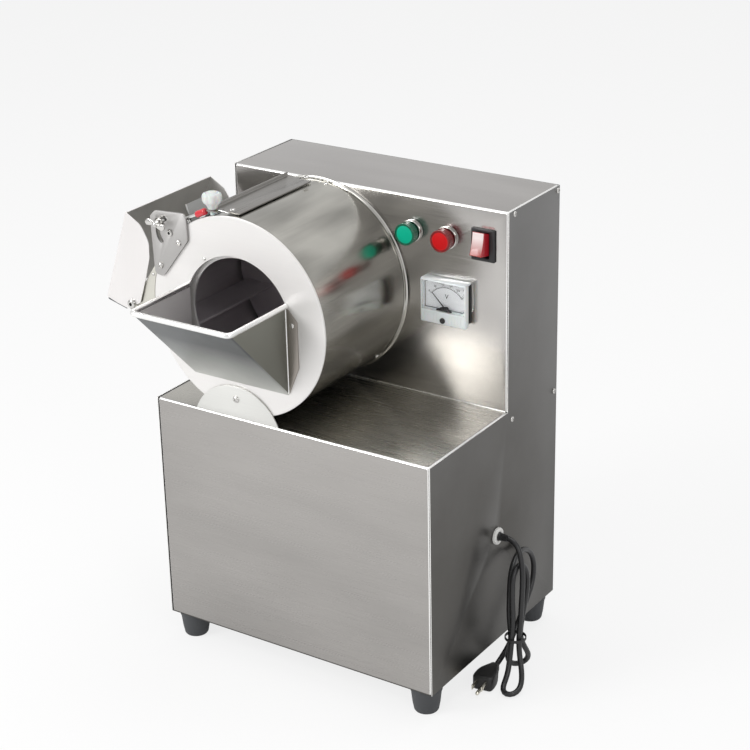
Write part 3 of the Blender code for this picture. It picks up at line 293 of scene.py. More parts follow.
recipes = {
    brushedSteel: {
        # tone, axis of the brushing, roughness, clouds, metal, lines, cloud size, grain depth
        "frontSteel": ((0.40, 0.385, 0.37), "x", 0.30),
        "consoleSteel": ((0.46, 0.445, 0.43), "x", 0.21, 0.07, 1.0, 0.03),
        # the drum's strong clouds stretched along its axis: painted reflection streaks over real brushing
        "drumSteel": ((0.43, 0.42, 0.385), "y", 0.19, 0.30, 1.0, 0.012, 13.0, 0.006),
        "ringSteel": ((0.78, 0.765, 0.75), "x", 0.42, 0.03, 0.5),
        "saddleSteel": ((0.70, 0.70, 0.675), "x", 0.42, 0.05),
        "hoodSteel": ((0.80, 0.78, 0.77), "z", 0.36, 0.03, 0.8),
        # the deck top, lighter and warmer than the front of the same sheet: a painted reflection
        "deckSteel": ((0.52, 0.505, 0.465), "x", 0.27),
        "strapSteel": ((0.31, 0.30, 0.285), "y", 0.30),
        "plateSteel": ((0.46, 0.45, 0.44), "x", 0.45, 0.05),
        "bladeSteel": ((0.68, 0.69, 0.70), "y", 0.16),
        # near white: a painted highlight on the folds and cut edges
        "foldSteel": ((0.97, 0.965, 0.95), "x", 0.30, 0.02, 1.0, 0.02),
        # the duller insides of the hood and the drum: painted shade
        "hoodInside": ((0.56, 0.55, 0.53), "z", 0.45, 0.10, 0.6),
        "drumInside": ((0.46, 0.43, 0.445), "y", 0.42, 0.10, 0.4),
        "rotorSteel": ((0.52, 0.48, 0.505), "x", 0.42, 0.10, 0.4),
        "flangeSteel": ((0.36, 0.33, 0.30), "z", 0.36),
        "cheekSteel": ((0.66, 0.65, 0.59), "z", 0.42, 0.04),
        "finSteel": ((0.36, 0.36, 0.35), "y", 0.36, 0.05),
    },
    paintedReflectionSteel: {
        # lower tone, upper tone, from and to this height, roughness, metal
        # painted reflection and shade: the sides darker than the front's same steel and darker lower down, the hopper
        # walls lit or shaded by height
        "sideSteel": ((0.110, 0.106, 0.099), (0.255, 0.252, 0.249), 0.20, 0.58, 0.36, 1.0),
        "hopperSide": ((0.165, 0.165, 0.142), (0.235, 0.235, 0.205), 0.39, 0.50, 0.5),
        "hopperFront": ((0.58, 0.59, 0.56), (0.125, 0.132, 0.135), 0.385, 0.465, 0.42),
        "hopperInside": ((0.50, 0.49, 0.48), (0.80, 0.78, 0.77), 0.39, 0.50, 0.45, 0.5),
    },
    smoothMetal: {
        # tone, roughness, clouds
        "screwSteel": ((0.62, 0.61, 0.59), 0.24, 0.10),
        "bezelChrome": ((0.74, 0.73, 0.70), 0.14),
        "nickel": ((0.83, 0.80, 0.70), 0.18),
        # near white: a painted highlight on the hopper rim and on the deck and hopper folds
        "rimSteel": ((0.93, 0.925, 0.91), 0.28, 0.02),
        "beadSteel": ((0.56, 0.55, 0.52), 0.2),
        "rodSteel": ((0.72, 0.72, 0.70), 0.14),
        "chromeSteel": ((0.60, 0.59, 0.57), 0.10, 0.06),
        "brightSteel": ((0.78, 0.78, 0.76), 0.16),
        "dullSteel": ((0.34, 0.34, 0.34), 0.42),
        "castMetal": ((0.50, 0.51, 0.52), 0.5, 0.10),
    },
    mouldedPlastic: {
        # tone, roughness, speckle, grain size, grain depth, other sockets
        "greenFace": ((0.0, 0.40, 0.245), 0.48, 0.05, 260.0, 0.35, {"Specular IOR Level": 0.15}),
        "redFace": ((0.53, 0.006, 0.008), 0.48, 0.05, 260.0, 0.35, {"Specular IOR Level": 0.15}),
        "greenRim": ((0.0, 0.105, 0.055), 0.16, 0.15, 900.0, 0.05, {"Coat Weight": 0.5}),
        "redRim": ((0.20, 0.008, 0.010), 0.16, 0.15, 900.0, 0.05, {"Coat Weight": 0.5}),
        "redSide": ((0.42, 0.008, 0.018), 0.14, 0.05, 900.0, 0.05, {"Coat Weight": 0.6}),
        "gripRed": ((0.60, 0.008, 0.022), 0.14, 0.05, 900.0, 0.05, {"Coat Weight": 0.7}),
        "coverPlastic": ((0.90, 0.90, 0.885), 0.16, 0.02, 900.0, 0.02,
                         {"Coat Weight": 0.4, "Subsurface Weight": 0.2}),
        "clearPlastic": ((0.99, 0.99, 0.99), 0.03, 0.01, 900.0, 0.0, {"Transmission Weight": 1.0, "IOR": 1.15}),
        "milkyPlastic": ((0.84, 0.86, 0.84), 0.24, 0.03, 500.0, 0.04,
                         {"Transmission Weight": 0.3, "Subsurface Weight": 0.3, "IOR": 1.42}),
        # painted shade in the screw sockets
        "socketDark": ((0.03, 0.03, 0.03), 0.5, 0.2),
        # the meter base's own dark grey, also used as painted shade on the hood's underside and hem
        "meterGrey": ((0.055, 0.062, 0.068), 0.4, 0.1),
        "plugBlack": ((0.014, 0.014, 0.014), 0.42, 0.2, 600.0, 0.2),
        "motorPaint": ((0.12, 0.15, 0.17), 0.42, 0.06, 300.0, 0.15),
        "whitePlastic": ((0.80, 0.795, 0.77), 0.36),
        "dialPaper": ((0.92, 0.94, 0.96), 0.7, 0.02),
        "blackPlastic": ((0.018, 0.018, 0.019), 0.38, 0.2),
        "footRubber": ((0.055, 0.058, 0.062), 0.62, 0.12, 700.0, 0.25),
        "beltRubber": ((0.02, 0.02, 0.02), 0.8, 0.2, 500.0, 0.3),
        "cordRubber": ((0.016, 0.016, 0.017), 0.34, 0.2),
    },
    paintedHighlightPlastic: {
        # lower tone, upper tone, from and to this height, roughness
        # red below, and a pale painted highlight toward the top
        "paddlePlastic": ((0.36, 0.03, 0.02), (0.90, 0.77, 0.75), 0.545, 0.563, 0.42),
    },
}
finishes = {name: make(name, *values) for make, rows in recipes.items() for name, values in rows.items()}
print("finishes mixed:", len(finishes))

# The finish of each CAD node that stays; a finer piece stands for each of the others
wears = {
    "bottom_panel": "sideSteel", "chute_cheek_rear": "plateSteel", "rotor_front_ring": "ringSteel",
    "rotor_disc": "rotorSteel", "slicing_blade": "bladeSteel", "strip_comb": "bladeSteel",
    "rotor_shaft": "brightSteel", "rotor_nut": "brightSteel", "motor_shaft": "brightSteel",
    "bearing_housing": "castMetal", "driven_pulley": "castMetal", "motor_pulley": "castMetal",
    "motor_cradle": "castMetal", "bearing_front": "dullSteel", "bearing_rear": "dullSteel",
    "motor_body": "motorPaint", "drive_belt": "beltRubber", "voltmeter_lens": "clearPlastic",
    "voltmeter_needle": "blackPlastic",
}
for name, finish in wears.items():
    for place in nodes[name].material_slots:
        place.material = finishes[finish]
print("finishes laid on", len(wears), "nodes")


# Modelling helpers
def clearSelection():
    if bpy.context.mode != "OBJECT":
        bpy.ops.object.mode_set(mode="OBJECT")
    bpy.ops.object.select_all(action="DESELECT")


def takeUp(piece):
    clearSelection()
    piece.select_set(True)
    bpy.context.view_layer.objects.active = piece


def openMesh():
    bpy.ops.object.mode_set(mode="EDIT")
    bpy.ops.mesh.select_all(action="SELECT")


def closeMesh():
    bpy.ops.object.mode_set(mode="OBJECT")


# turns every face outward and leaves edit mode
def closeOutward():
    bpy.ops.mesh.select_all(action="SELECT")
    bpy.ops.mesh.normals_make_consistent(inside=False)
    closeMesh()


# moves a piece and keeps the move in its mesh
def settle(piece, place):
    piece.matrix_world = place
    takeUp(piece)
    bpy.ops.object.transform_apply()


def applyAll(piece):
    takeUp(piece)
    for step in list(piece.modifiers):
        bpy.ops.object.modifier_apply(modifier=step.name)


def roundEdges(piece, width, segments=2, angle=35):
    bevel = piece.modifiers.new("edges", "BEVEL")
    bevel.width = width
    bevel.segments = segments
    bevel.limit_method = "ANGLE"
    bevel.angle_limit = math.radians(angle)
    applyAll(piece)


def thicken(piece, sheet):
    wall = piece.modifiers.new("wall", "SOLIDIFY")
    wall.thickness = sheet
    wall.offset = -1
    wall.use_even_offset = True
    applyAll(piece)


def combine(piece, other, way):
    step = piece.modifiers.new("combine", "BOOLEAN")
    step.operation = way
    step.solver = "EXACT"
    step.object = other
    applyAll(piece)
    bpy.data.objects.remove(other)


def cutAway(piece, *cutters):
    for cutter in cutters:
        combine(piece, cutter, "DIFFERENCE")


def turnAbout(axis, degrees):
    return Matrix.Rotation(math.radians(degrees), 4, axis)


# sets a piece made along +Z at a place, looking along an axis
def putAt(piece, place, axis=(0, 0, 1), roll=0.0, size=1.0):
    facing = Vector((0, 0, 1)).rotation_difference(Vector(axis)).to_matrix().to_4x4()
    settle(piece, Matrix.Translation(place) @ facing @ turnAbout("Z", roll) @ Matrix.Scale(size, 4))


# names a finished piece, gives it its finish and lets it ride on its body
def dress(piece, name, finish, stands=None, smooth=38, body="root"):
    piece.name = piece.data.name = name
    takeUp(piece)
    if smooth:
        bpy.ops.object.shade_smooth_by_angle(angle=math.radians(smooth))
    if finish:
        piece.data.materials.clear()
        piece.data.materials.append(finishes[finish])
    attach(piece, body)
    if stands:
        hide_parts(stands)
    clearSelection()
    return piece


# draws a circle up ring by ring, with a radius and a height at each
def drawUp(profile, sides, fill, extrude):
    clearSelection()
    radius, height = profile[0]
    bpy.ops.mesh.primitive_circle_add(vertices=sides, radius=radius, fill_type=fill, location=(0, 0, height))
    bpy.ops.object.transform_apply()
    openMesh()
    for nextRadius, nextHeight in profile[1:]:
        extrude(TRANSFORM_OT_translate={"value": (0, 0, nextHeight - height)})
        factor = nextRadius / radius
        bpy.ops.transform.resize(value=(factor, factor, 1), center_override=(0, 0, nextHeight))
        radius, height = nextRadius, nextHeight
    bpy.ops.mesh.select_all(action="SELECT")
    return bpy.context.object


def turnSolid(profile, sides=48):
    piece = drawUp(profile, sides, "NGON", bpy.ops.mesh.extrude_region_move)
    closeOutward()
    return piece


# a closed profile drawn round the axis, its last ring joined to its first
def turnRing(profile, sides):
    piece = drawUp(profile + profile[:1], sides, "NOTHING", bpy.ops.mesh.extrude_edges_move)
    bpy.ops.mesh.remove_doubles(threshold=0.00002)
    closeOutward()
    return piece


# a flat face with the outline's corners, drawn up to its thickness
def plateOf(outline, thick):
    clearSelection()
    bpy.ops.mesh.primitive_circle_add(vertices=len(outline), radius=0.01, fill_type="NGON")
    piece = bpy.context.object
    for corner, (u, v) in zip(piece.data.vertices, outline):
        corner.co = (u, v, 0)
    openMesh()
    bpy.ops.mesh.extrude_region_move(TRANSFORM_OT_translate={"value": (0, 0, thick)})
    closeOutward()
    return piece


# a box between two corners, as a start or a cutter
def block(low, high):
    clearSelection()
    size = [b - a for a, b in zip(low, high)]
    middle = [(a + b) / 2 for a, b in zip(low, high)]
    bpy.ops.mesh.primitive_cube_add(size=1, location=middle, scale=size)
    bpy.ops.object.transform_apply()
    return bpy.context.object


# a box about a place on the console, from the near to the far depth
def boxAbout(middle, half, near, far):
    x, z = middle
    return block((x - half[0], near, z - half[1]), (x + half[0], far, z + half[1]))


def ownCopy(piece):
    return newObject(piece.name, piece.data.copy())


def joinAll(parts):
    clearSelection()
    for part in parts:
        part.select_set(True)
    bpy.context.view_layer.objects.active = parts[0]
    bpy.ops.object.join()
    return bpy.context.object


# a curve of round section along a line of points
def curveAlong(name, points, radius, steps):
    shape = bpy.data.curves.new(name, "CURVE")
    shape.dimensions = "3D"
    shape.bevel_depth = radius
    shape.bevel_resolution = steps
    shape.use_fill_caps = True
    run = shape.splines.new("POLY")
    run.points.add(len(points) - 1)
    for point, place in zip(run.points, points):
        point.co = (*place, 1)
    run.use_smooth = True
    return newObject(name, shape)


# a round bar along a line of points, made a mesh
def pipe(points, radius):
    clearSelection()
    takeUp(curveAlong("pipe", points, radius, 6))
    bpy.ops.object.convert(target="MESH")
    openMesh()
    bpy.ops.mesh.remove_doubles(threshold=0.00001)
    bpy.ops.mesh.normals_make_consistent(inside=False)
    closeMesh()
    return bpy.context.object


# points that round a corner between two straight legs
def roundedTurn(a, corner, b, radius, steps=5):
    corner = Vector(corner)
    start = corner + (Vector(a) - corner).normalized() * radius
    end = corner + (Vector(b) - corner).normalized() * radius
    return [tuple((1 - t) ** 2 * start + 2 * t * (1 - t) * corner + t * t * end)
            for t in (k / steps for k in range(steps + 1))]


# a merged copy of a CAD node, to be finished and then to stand for it
def copyOf(node):
    piece = newObject(node + "_made", nodes[node].data.copy())
    piece.data.materials.clear()
    takeUp(piece)
    openMesh()
    bpy.ops.mesh.remove_doubles(threshold=0.00001)
    bpy.ops.mesh.dissolve_limited(angle_limit=math.radians(0.5))
    closeMesh()
    return piece


# lays finishes in slots, the first on all faces and each later one where its test says so
def coat(piece, first, *later):
    piece.data.materials.clear()
    for finish in (first, *(finish for finish, test in later)):
        piece.data.materials.append(finishes[finish])
    for face in piece.data.polygons:
        face.material_index = 0
        for place, (finish, test) in enumerate(later, 1):
            if test(face.center, face.normal):
                face.material_index = place


def selectFaces(piece, test):
    takeUp(piece)
    bpy.ops.object.mode_set(mode="EDIT")
    bpy.ops.mesh.select_mode(type="FACE")
    bpy.ops.mesh.select_all(action="DESELECT")
    closeMesh()
    for face in piece.data.polygons:
        face.select = test(face.center, face.normal)
    bpy.ops.object.mode_set(mode="EDIT")


# takes the chosen faces out of a shell and rounds every edge that isn't open
def openShell(width, segments):
    bpy.ops.mesh.delete(type="FACE")
    bpy.ops.mesh.select_mode(type="EDGE")
    bpy.ops.mesh.select_all(action="SELECT")
    bpy.ops.mesh.region_to_loop()
    bpy.ops.mesh.select_all(action="INVERT")
    bpy.ops.mesh.bevel(offset=width, segments=segments, affect="EDGES")


# Cabinet sheets with rounded folds, their flanges tucked inside the side panels
controls = {"buttons": [(0.0995, 0.551), (0.1495, 0.551)], "rocker": (0.2005, 0.551), "meter": (0.152, 0.472)}
cabinet = {
    "sheet": 0.0012, "fold": 0.0030, "flange": 0.012, "tuck": 0.0015, "cutEdge": 0.0003,
    "buttonHole": 0.0113, "roundHole": 0.0238, "rockerHole": (0.0111, 0.0186),
    "backScrewX": {"Left": -0.150, "Right": 0.219}, "backScrewZ": {"Upper": 0.580, "Lower": 0.055},
    "sink": 0.0038, "sinkFrom": 0.2049, "sinkDeep": 0.004,
    "seam": 0.0007, "seamUp": 0.0008, "seamEnds": (-0.155, 0.2315),
}


def foldedTray(low, high, name, node, finish, lid, cutters=()):
    piece = block(low, high)
    selectFaces(piece, lambda middle, normal: normal.y > 0.9 or normal.z < -0.9)
    openShell(cabinet["fold"], 5)
    closeMesh()
    selectFaces(piece, lambda middle, normal: abs(normal.x) > 0.999)
    bpy.ops.mesh.inset(thickness=cabinet["flange"])
    bpy.ops.mesh.delete(type="FACE")
    closeMesh()
    thicken(piece, cabinet["sheet"])
    cutAway(piece, *cutters)
    # the folds get a near-white painted highlight, and the top faces the lid's finish, which on the deck is a painted
    # reflection
    coat(piece, finish, ("foldSteel", lambda middle, normal: max(abs(part) for part in normal) < 0.985),
         (lid, lambda middle, normal: normal.z > 0.999))
    dress(piece, name, None, node, 30)


def roundCutter(x, z, radius):
    cutter = turnSolid([(radius, -past), (radius, past)])
    putAt(cutter, (x, machine["console"], z), (0, 1, 0))
    return cutter


def addCabinet():
    tuck = cabinet["tuck"]
    left, right = machine["left"] + tuck, machine["right"] - tuck
    console, deck = machine["console"], machine["deck"]
    foldedTray((left, machine["front"], machine["bottom"] + tuck), (right, console, deck),
               "frontTray", "front_deck_panel", "frontSteel", "deckSteel")
    cutters = [roundCutter(*place, cabinet["buttonHole"]) for place in controls["buttons"]]
    for place in (controls["meter"], (machine["drumX"], machine["drumZ"])):
        cutters.append(roundCutter(*place, cabinet["roundHole"]))
    cutters.append(boxAbout(controls["rocker"], cabinet["rockerHole"], console - past, console + past))
    foldedTray((left, console, deck + gap), (right, machine["back"] - tuck, machine["top"]),
               "consoleTray", "console_panel", "consoleSteel", "consoleSteel", cutters)


# the side sheets' cut edges get a near-white painted highlight, the sheets a tone of painted reflection and shade,
# and the back's screws sit in sinks
def addSides():
    for side in ("left", "right"):
        piece = copyOf("side_panel_" + side)
        roundEdges(piece, cabinet["cutEdge"], 2, 40)
        coat(piece, "sideSteel", ("foldSteel", lambda middle, normal: normal.y < -0.9 or normal.z > 0.9))
        dress(piece, side + "Side", None, "side_panel_" + side, 30)
    back = copyOf("back_panel")
    for x in cabinet["backScrewX"].values():
        for z in cabinet["backScrewZ"].values():
            sink = turnSolid([(cabinet["sink"], 0), (cabinet["sink"], cabinet["sinkDeep"])], 32)
            putAt(sink, (x, cabinet["sinkFrom"], z), (0, 1, 0))
            cutAway(back, sink)
    roundEdges(back, cabinet["cutEdge"], 2, 40)
    dress(back, "backSheet", "sideSteel", "back_panel", 30)
    # a near-white rod along the fold between deck and console: a painted highlight
    y, z = machine["console"] - cabinet["seam"], machine["deck"] + cabinet["seamUp"]
    seam = pipe([(x, y, z) for x in cabinet["seamEnds"]], cabinet["seam"])
    dress(seam, "deckSeam", "rimSteel", smooth=40)


addCabinet()
addSides()
print("cabinet folded")


# Cross-head screws, modelled once and copied
screws = {
    "head": 0.0036, "rise": 0.0019, "arm": 0.0021, "slot": 0.0007, "deep": 0.0011, "backAt": 0.2051,
    "firstTurn": 17, "eachTurn": 37,  # degrees, so that no two crosses lie alike
    "sheets": {"side": ("right", 1), "left": ("left", -1)},
    "corners": {"TopFront": (0.096, 0.591), "TopBack": (0.202, 0.590),
                "MidBack": (0.200, 0.326), "MidFront": (0.093, 0.329)},
    "places": {
        # name: place, way out, size
        "saddle": ((-0.041, -0.0967, 0.3655), (0, -1, 0), 1.25),
        "bracketUpper": ((-0.1151, -0.0973, 0.5526), (0, -1, 0), 1.15),
        "bracketLower": ((-0.1450, -0.0973, 0.5190), (0, -1, 0), 1.15),
        "hopperRight": ((0.0462, -0.0959, 0.4785), (0, -1, 0), 0.95),
        "hopperLeft": ((-0.1142, -0.0959, 0.4785), (0, -1, 0), 0.95),
        "strapFront": ((-0.0365, -0.0905, 0.6053), (0, 0, 1), 1.0),
        "strapRear": ((-0.0335, 0.0550, 0.6053), (0, 0, 1), 1.0),
        "shellTop": ((-0.0166, 0.0715, 0.5950), (0.14, 0, 0.99), 0.95),
        "shellLow": ((0.0520, 0.0725, 0.3808), (0.689, 0, -0.725), 0.95),
    },
}


def screwHead():
    head, rise, deep = screws["head"], screws["rise"], screws["deep"]
    piece = turnSolid([(head * 0.97, 0), (head, 0.0003), (head * 0.96, 0.0008), (head * 0.80, rise * 0.75),
                       (head * 0.45, rise * 0.96), (head * 0.12, rise)], 28)
    arm, slot = screws["arm"], screws["slot"] / 2
    for a, b in ((arm, slot), (slot, arm)):
        cutAway(piece, block((-a, -b, rise - deep), (a, b, rise + past)))
    return piece


def screwPlaces():
    places = {}
    for sheet, (edge, way) in screws["sheets"].items():
        for corner, (y, z) in screws["corners"].items():
            places[sheet + corner] = (machine[edge], y, z), (way, 0, 0), 1.0
    places.update(screws["places"])
    for height, z in cabinet["backScrewZ"].items():
        for side, x in cabinet["backScrewX"].items():
            places["back" + height + side] = (x, screws["backAt"], z), (0, 1, 0), 1.0
    return places


def addScrews():
    model = screwHead()
    places = screwPlaces()
    for index, (name, (place, way, size)) in enumerate(places.items()):
        piece = ownCopy(model)
        putAt(piece, place, way, screws["firstTurn"] + screws["eachTurn"] * index, size)
        dress(piece, name + "Screw", "screwSteel", smooth=40)
    bpy.data.objects.remove(model)
    print("screws set:", len(places))


addScrews()


# Push buttons: ribbed ring, domed face and bright bezel
button = {
    "cap": 0.0136, "rim": 0.0124, "ribs": 30, "ribDeep": 0.00045, "capTop": 0.0176, "capFoot": 0.0043,
    "collar": 0.0070, "stem": 0.0091, "neck": 0.0116, "face": 0.0112, "nutTurn": 22.5, "nutAt": 0.0015,
    "ribsEnd": 0.0024, "faceDown": 0.00125,  # down from the cap's top
    "bezel": [(0.0094, -0.028), (0.011, -0.028), (0.011, 0.0003), (0.0143, 0.0003), (0.0143, 0.0022),
              (0.0139, 0.0031), (0.0131, 0.0034), (0.0125, 0.0033), (0.0121, 0.0029), (0.0121, 0.0010),
              (0.0094, 0.0010)],
    "nut": [(0.0112, 0.0), (0.0146, 0.0), (0.0146, 0.0035), (0.0112, 0.0035)],
    "colours": {"start": "green", "stop": "red"},
}


def buttonCap():
    cap, rim, top, stem, neck = (button[key] for key in ("cap", "rim", "capTop", "stem", "neck"))
    low, high = button["collar"], top - button["ribsEnd"]
    count = button["ribs"] * 4
    body = turnSolid([(stem, -0.008), (stem, button["capFoot"]), (neck, button["capFoot"]), (neck, low - 0.0004),
                      (cap, low), (cap, high), (cap + 0.0002, top - 0.0019), (cap + 0.0002, top - 0.0011),
                      (cap - 0.0003, top - 0.0005), (rim, top - 0.0005), (rim - 0.0002, top - 0.0012),
                      (0.0110, top - 0.0012), (0.0094, top - 0.0006), (0.0055, top - 0.0002), (0.0015, top)], count)

    def groove(middle, normal):
        turn = math.atan2(middle.y, middle.x) / (2 * math.pi) % 1
        return low < middle.z < high and abs(normal.z) <= 0.3 and int(turn * count) % 4 < 2

    selectFaces(body, groove)
    bpy.ops.mesh.inset(thickness=0.0001)
    bpy.ops.transform.shrink_fatten(value=-button["ribDeep"])
    closeMesh()
    return body


def addButtons():
    console, top = machine["console"], button["capTop"]
    models = [buttonCap(), turnRing(button["bezel"], 72), turnRing(button["nut"], 8)]
    for (name, colour), (x, z) in zip(button["colours"].items(), controls["buttons"]):
        cap, ring, lock = (ownCopy(model) for model in models)
        coat(cap, colour + "Rim", (colour + "Face", lambda middle, normal: middle.z > top - button["faceDown"]
                                   and math.hypot(middle.x, middle.y) < button["face"]))
        putAt(cap, (x, console, z), (0, -1, 0))
        dress(cap, name + "ButtonCap", None, name + "_button_cap", 50, name + "_button")
        putAt(ring, (x, console, z), (0, -1, 0))
        dress(ring, name + "ButtonBezel", "bezelChrome", name + "_button_bezel", 40)
        putAt(lock, (x, console + button["nutAt"], z), (0, 1, 0), button["nutTurn"])
        roundEdges(lock, 0.0004)
        dress(lock, name + "ButtonNut", "blackPlastic")
    for model in models:
        bpy.data.objects.remove(model)


addButtons()
print("buttons made")


# Rocker switch: a stepped black bezel and a dished, rounded paddle
rocker = {
    "frame": (0.016, 0.020), "window": (0.0086, 0.0163), "body": (0.0108, 0.0183), "lip": (0.0098, 0.0172),
    "front": 0.0032, "bodyDeep": 0.022, "pivotDeep": 0.003, "wide": 0.0080, "tall": 0.0143, "reach": 0.0210,
    "dish": 0.0014, "heel": 0.0126, "back": 0.006, "rest": 15, "overlap": 0.001, "lipDeep": 0.0008,
    "floor": 0.002, "frameRound": 0.0011, "paddleRound": 0.001,
}


def addRocker():
    console, middle = machine["console"], controls["rocker"]
    front, deep = console - rocker["front"], console + rocker["bodyDeep"]
    frame = boxAbout(middle, rocker["frame"], front, console - gap)
    roundEdges(frame, rocker["frameRound"], 3)
    combine(frame, boxAbout(middle, rocker["body"], console - rocker["overlap"], deep), "UNION")
    cutAway(frame, boxAbout(middle, rocker["lip"], console - past, front + rocker["lipDeep"]))
    cutAway(frame, boxAbout(middle, rocker["window"], console - past, deep - rocker["floor"]))
    dress(frame, "rockerBezel", "blackPlastic", "rocker_bezel", 30)

    reach, tall, wide = rocker["reach"], rocker["tall"], rocker["wide"]
    dished = [(-reach + rocker["dish"] * (1 - (k / 6) ** 2), tall * k / 6) for k in range(-6, 7)]
    paddle = plateOf(dished + [(0, rocker["heel"]), (rocker["back"], 0), (0, -rocker["heel"])], 2 * wide)
    selectFaces(paddle, lambda centre, normal: normal.x < -0.8)
    bpy.ops.mesh.region_to_loop()
    bpy.ops.mesh.bevel(offset=rocker["paddleRound"], segments=4, affect="EDGES")
    closeMesh()
    turn = math.radians(rocker["rest"])
    # u runs back into the panel and v up, and the extrusion becomes the width
    settle(paddle, Matrix(((0, 0, 1, middle[0] - wide),
                           (math.cos(turn), math.sin(turn), 0, console + rocker["pivotDeep"]),
                           (-math.sin(turn), math.cos(turn), 0, middle[1]), (0, 0, 0, 1))))
    openMesh()
    closeOutward()
    # the sides are deep red, and the front face has a painted highlight that is pale toward the top
    coat(paddle, "redSide", ("paddlePlastic", lambda centre, normal: normal.y < -0.85))
    dress(paddle, "rockerPaddle", None, "rocker_paddle", 30, "rocker_switch")


addRocker()
print("rocker made")


# Panel voltmeter: clear-edged cover, dark base, printed scale and pivot cover
meter = {
    "half": (0.032, 0.028), "face": 0.0675, "coverBack": 0.0765, "edge": 0.0018, "round": 0.0022,
    "sill": 0.0168, "grooves": 0.0042, "grooveHalf": 0.0003, "grooveMargin": 0.0028, "grooveDeep": 0.0004,
    "lidInset": 0.0004, "lidDeep": 0.0022, "lidUp": 0.0002, "lidRound": 0.0006,
    "base": (0.0286, 0.0262), "baseRound": 0.0012, "baseInset": 0.001, "baseDeep": 0.0022,
    "can": 0.0235, "canDeep": 0.0300, "canRound": 0.002, "cardInset": 0.0004, "card": 0.0007, "cardRound": 0.0002,
    "hub": (0.152, 0.462), "arc": 0.0272, "sweep": 104, "dialFace": 0.0775, "arcSteps": 30,
    "numbers": ["0", "50", "100", "150", "200", "250"], "numberTall": 0.0036, "numbersOut": 0.0040, "ticks": 26,
    "letterTall": 0.0085, "letterUp": 0.0155, "ink": 0.00008, "inkAt": 0.00006, "inkDeep": 0.0001,
    "longTick": 0.0024, "shortTick": 0.0013, "tickWide": 0.00045, "arcThick": 0.00055, "arcDown": 0.0005,
    "dashAt": 0.0215, "dashHalf": 0.004, "dashDown": (0.0014, 0.0009),
    "humpHalf": [(0.0108, 0), (0.0100, 0.0021), (0.0070, 0.0025), (0.0052, 0.0042), (0.002, 0.0056)],
    "humpAt": 0.0722, "humpUp": 0.0004, "humpThick": 0.0026, "humpRound": 0.0005,
    "screwUp": 0.006, "screwTurn": 30, "screwSlot": (0.0031, 0.0004), "slotFrom": 0.0009,
    "screw": [(0.0036, 0), (0.0036, 0.0009), (0.0032, 0.0015), (0.0029, 0.0018), (0.0012, 0.0018)],
}


# stands a piece drawn in x and y up into x and z, its thickness coming forward
def standAt(piece, place):
    settle(piece, Matrix.Translation(place) @ turnAbout("X", 90))


# printed words, so far out from the dial's hub and turned so far about it
def dialText(words, size, radius, turn=0.0):
    shape = bpy.data.curves.new("dialText", "FONT")
    shape.body = words
    shape.size = size
    shape.align_x = "CENTER"
    shape.align_y = "CENTER"
    shape.extrude = meter["ink"]
    shape.resolution_u = 3
    takeUp(newObject("dialText", shape))
    bpy.ops.object.convert(target="MESH")
    piece = bpy.context.object
    x, z = meter["hub"]
    standAt(piece, (x + radius * math.sin(turn), meter["dialFace"] - meter["inkAt"], z + radius * math.cos(turn)))
    return piece


def dialMark(radius, turn, long, wide):
    x, z = meter["hub"]
    mark = block((-wide / 2, -meter["inkDeep"], 0), (wide / 2, 0, long))
    settle(mark, Matrix.Translation((x, meter["dialFace"], z)) @ Matrix.Rotation(turn, 4, "Y")
           @ Matrix.Translation((0, 0, radius)))
    return mark


def addScale(x):
    arc, steps, last = meter["arc"], meter["arcSteps"], meter["ticks"] - 1
    sweep = math.radians(meter["sweep"])
    marks = [dialMark(arc, sweep * (k / last - 0.5), meter["shortTick" if k % 5 else "longTick"], meter["tickWide"])
             for k in range(last + 1)]
    stroke = arc * sweep / steps * 1.05  # each a little longer than its share, so that they meet
    marks += [dialMark(arc - meter["arcDown"], sweep * ((k + 0.5) / steps - 0.5), meter["arcThick"], stroke)
              for k in range(steps)]
    numbers = meter["numbers"]
    marks += [dialText(words, meter["numberTall"], arc + meter["numbersOut"], sweep * (k / (len(numbers) - 1) - 0.5))
              for k, words in enumerate(numbers)]
    marks.append(dialText("V", meter["letterTall"], meter["letterUp"]))
    dash, face = meter["dashHalf"], meter["dialFace"]
    low, high = (meter["hub"][1] - down for down in meter["dashDown"])
    for middle in (x - meter["dashAt"], x + meter["dashAt"]):
        marks.append(block((middle - dash, face - meter["inkDeep"], low), (middle + dash, face, high)))
    dress(joinAll(marks), "meterScale", "blackPlastic", smooth=0)


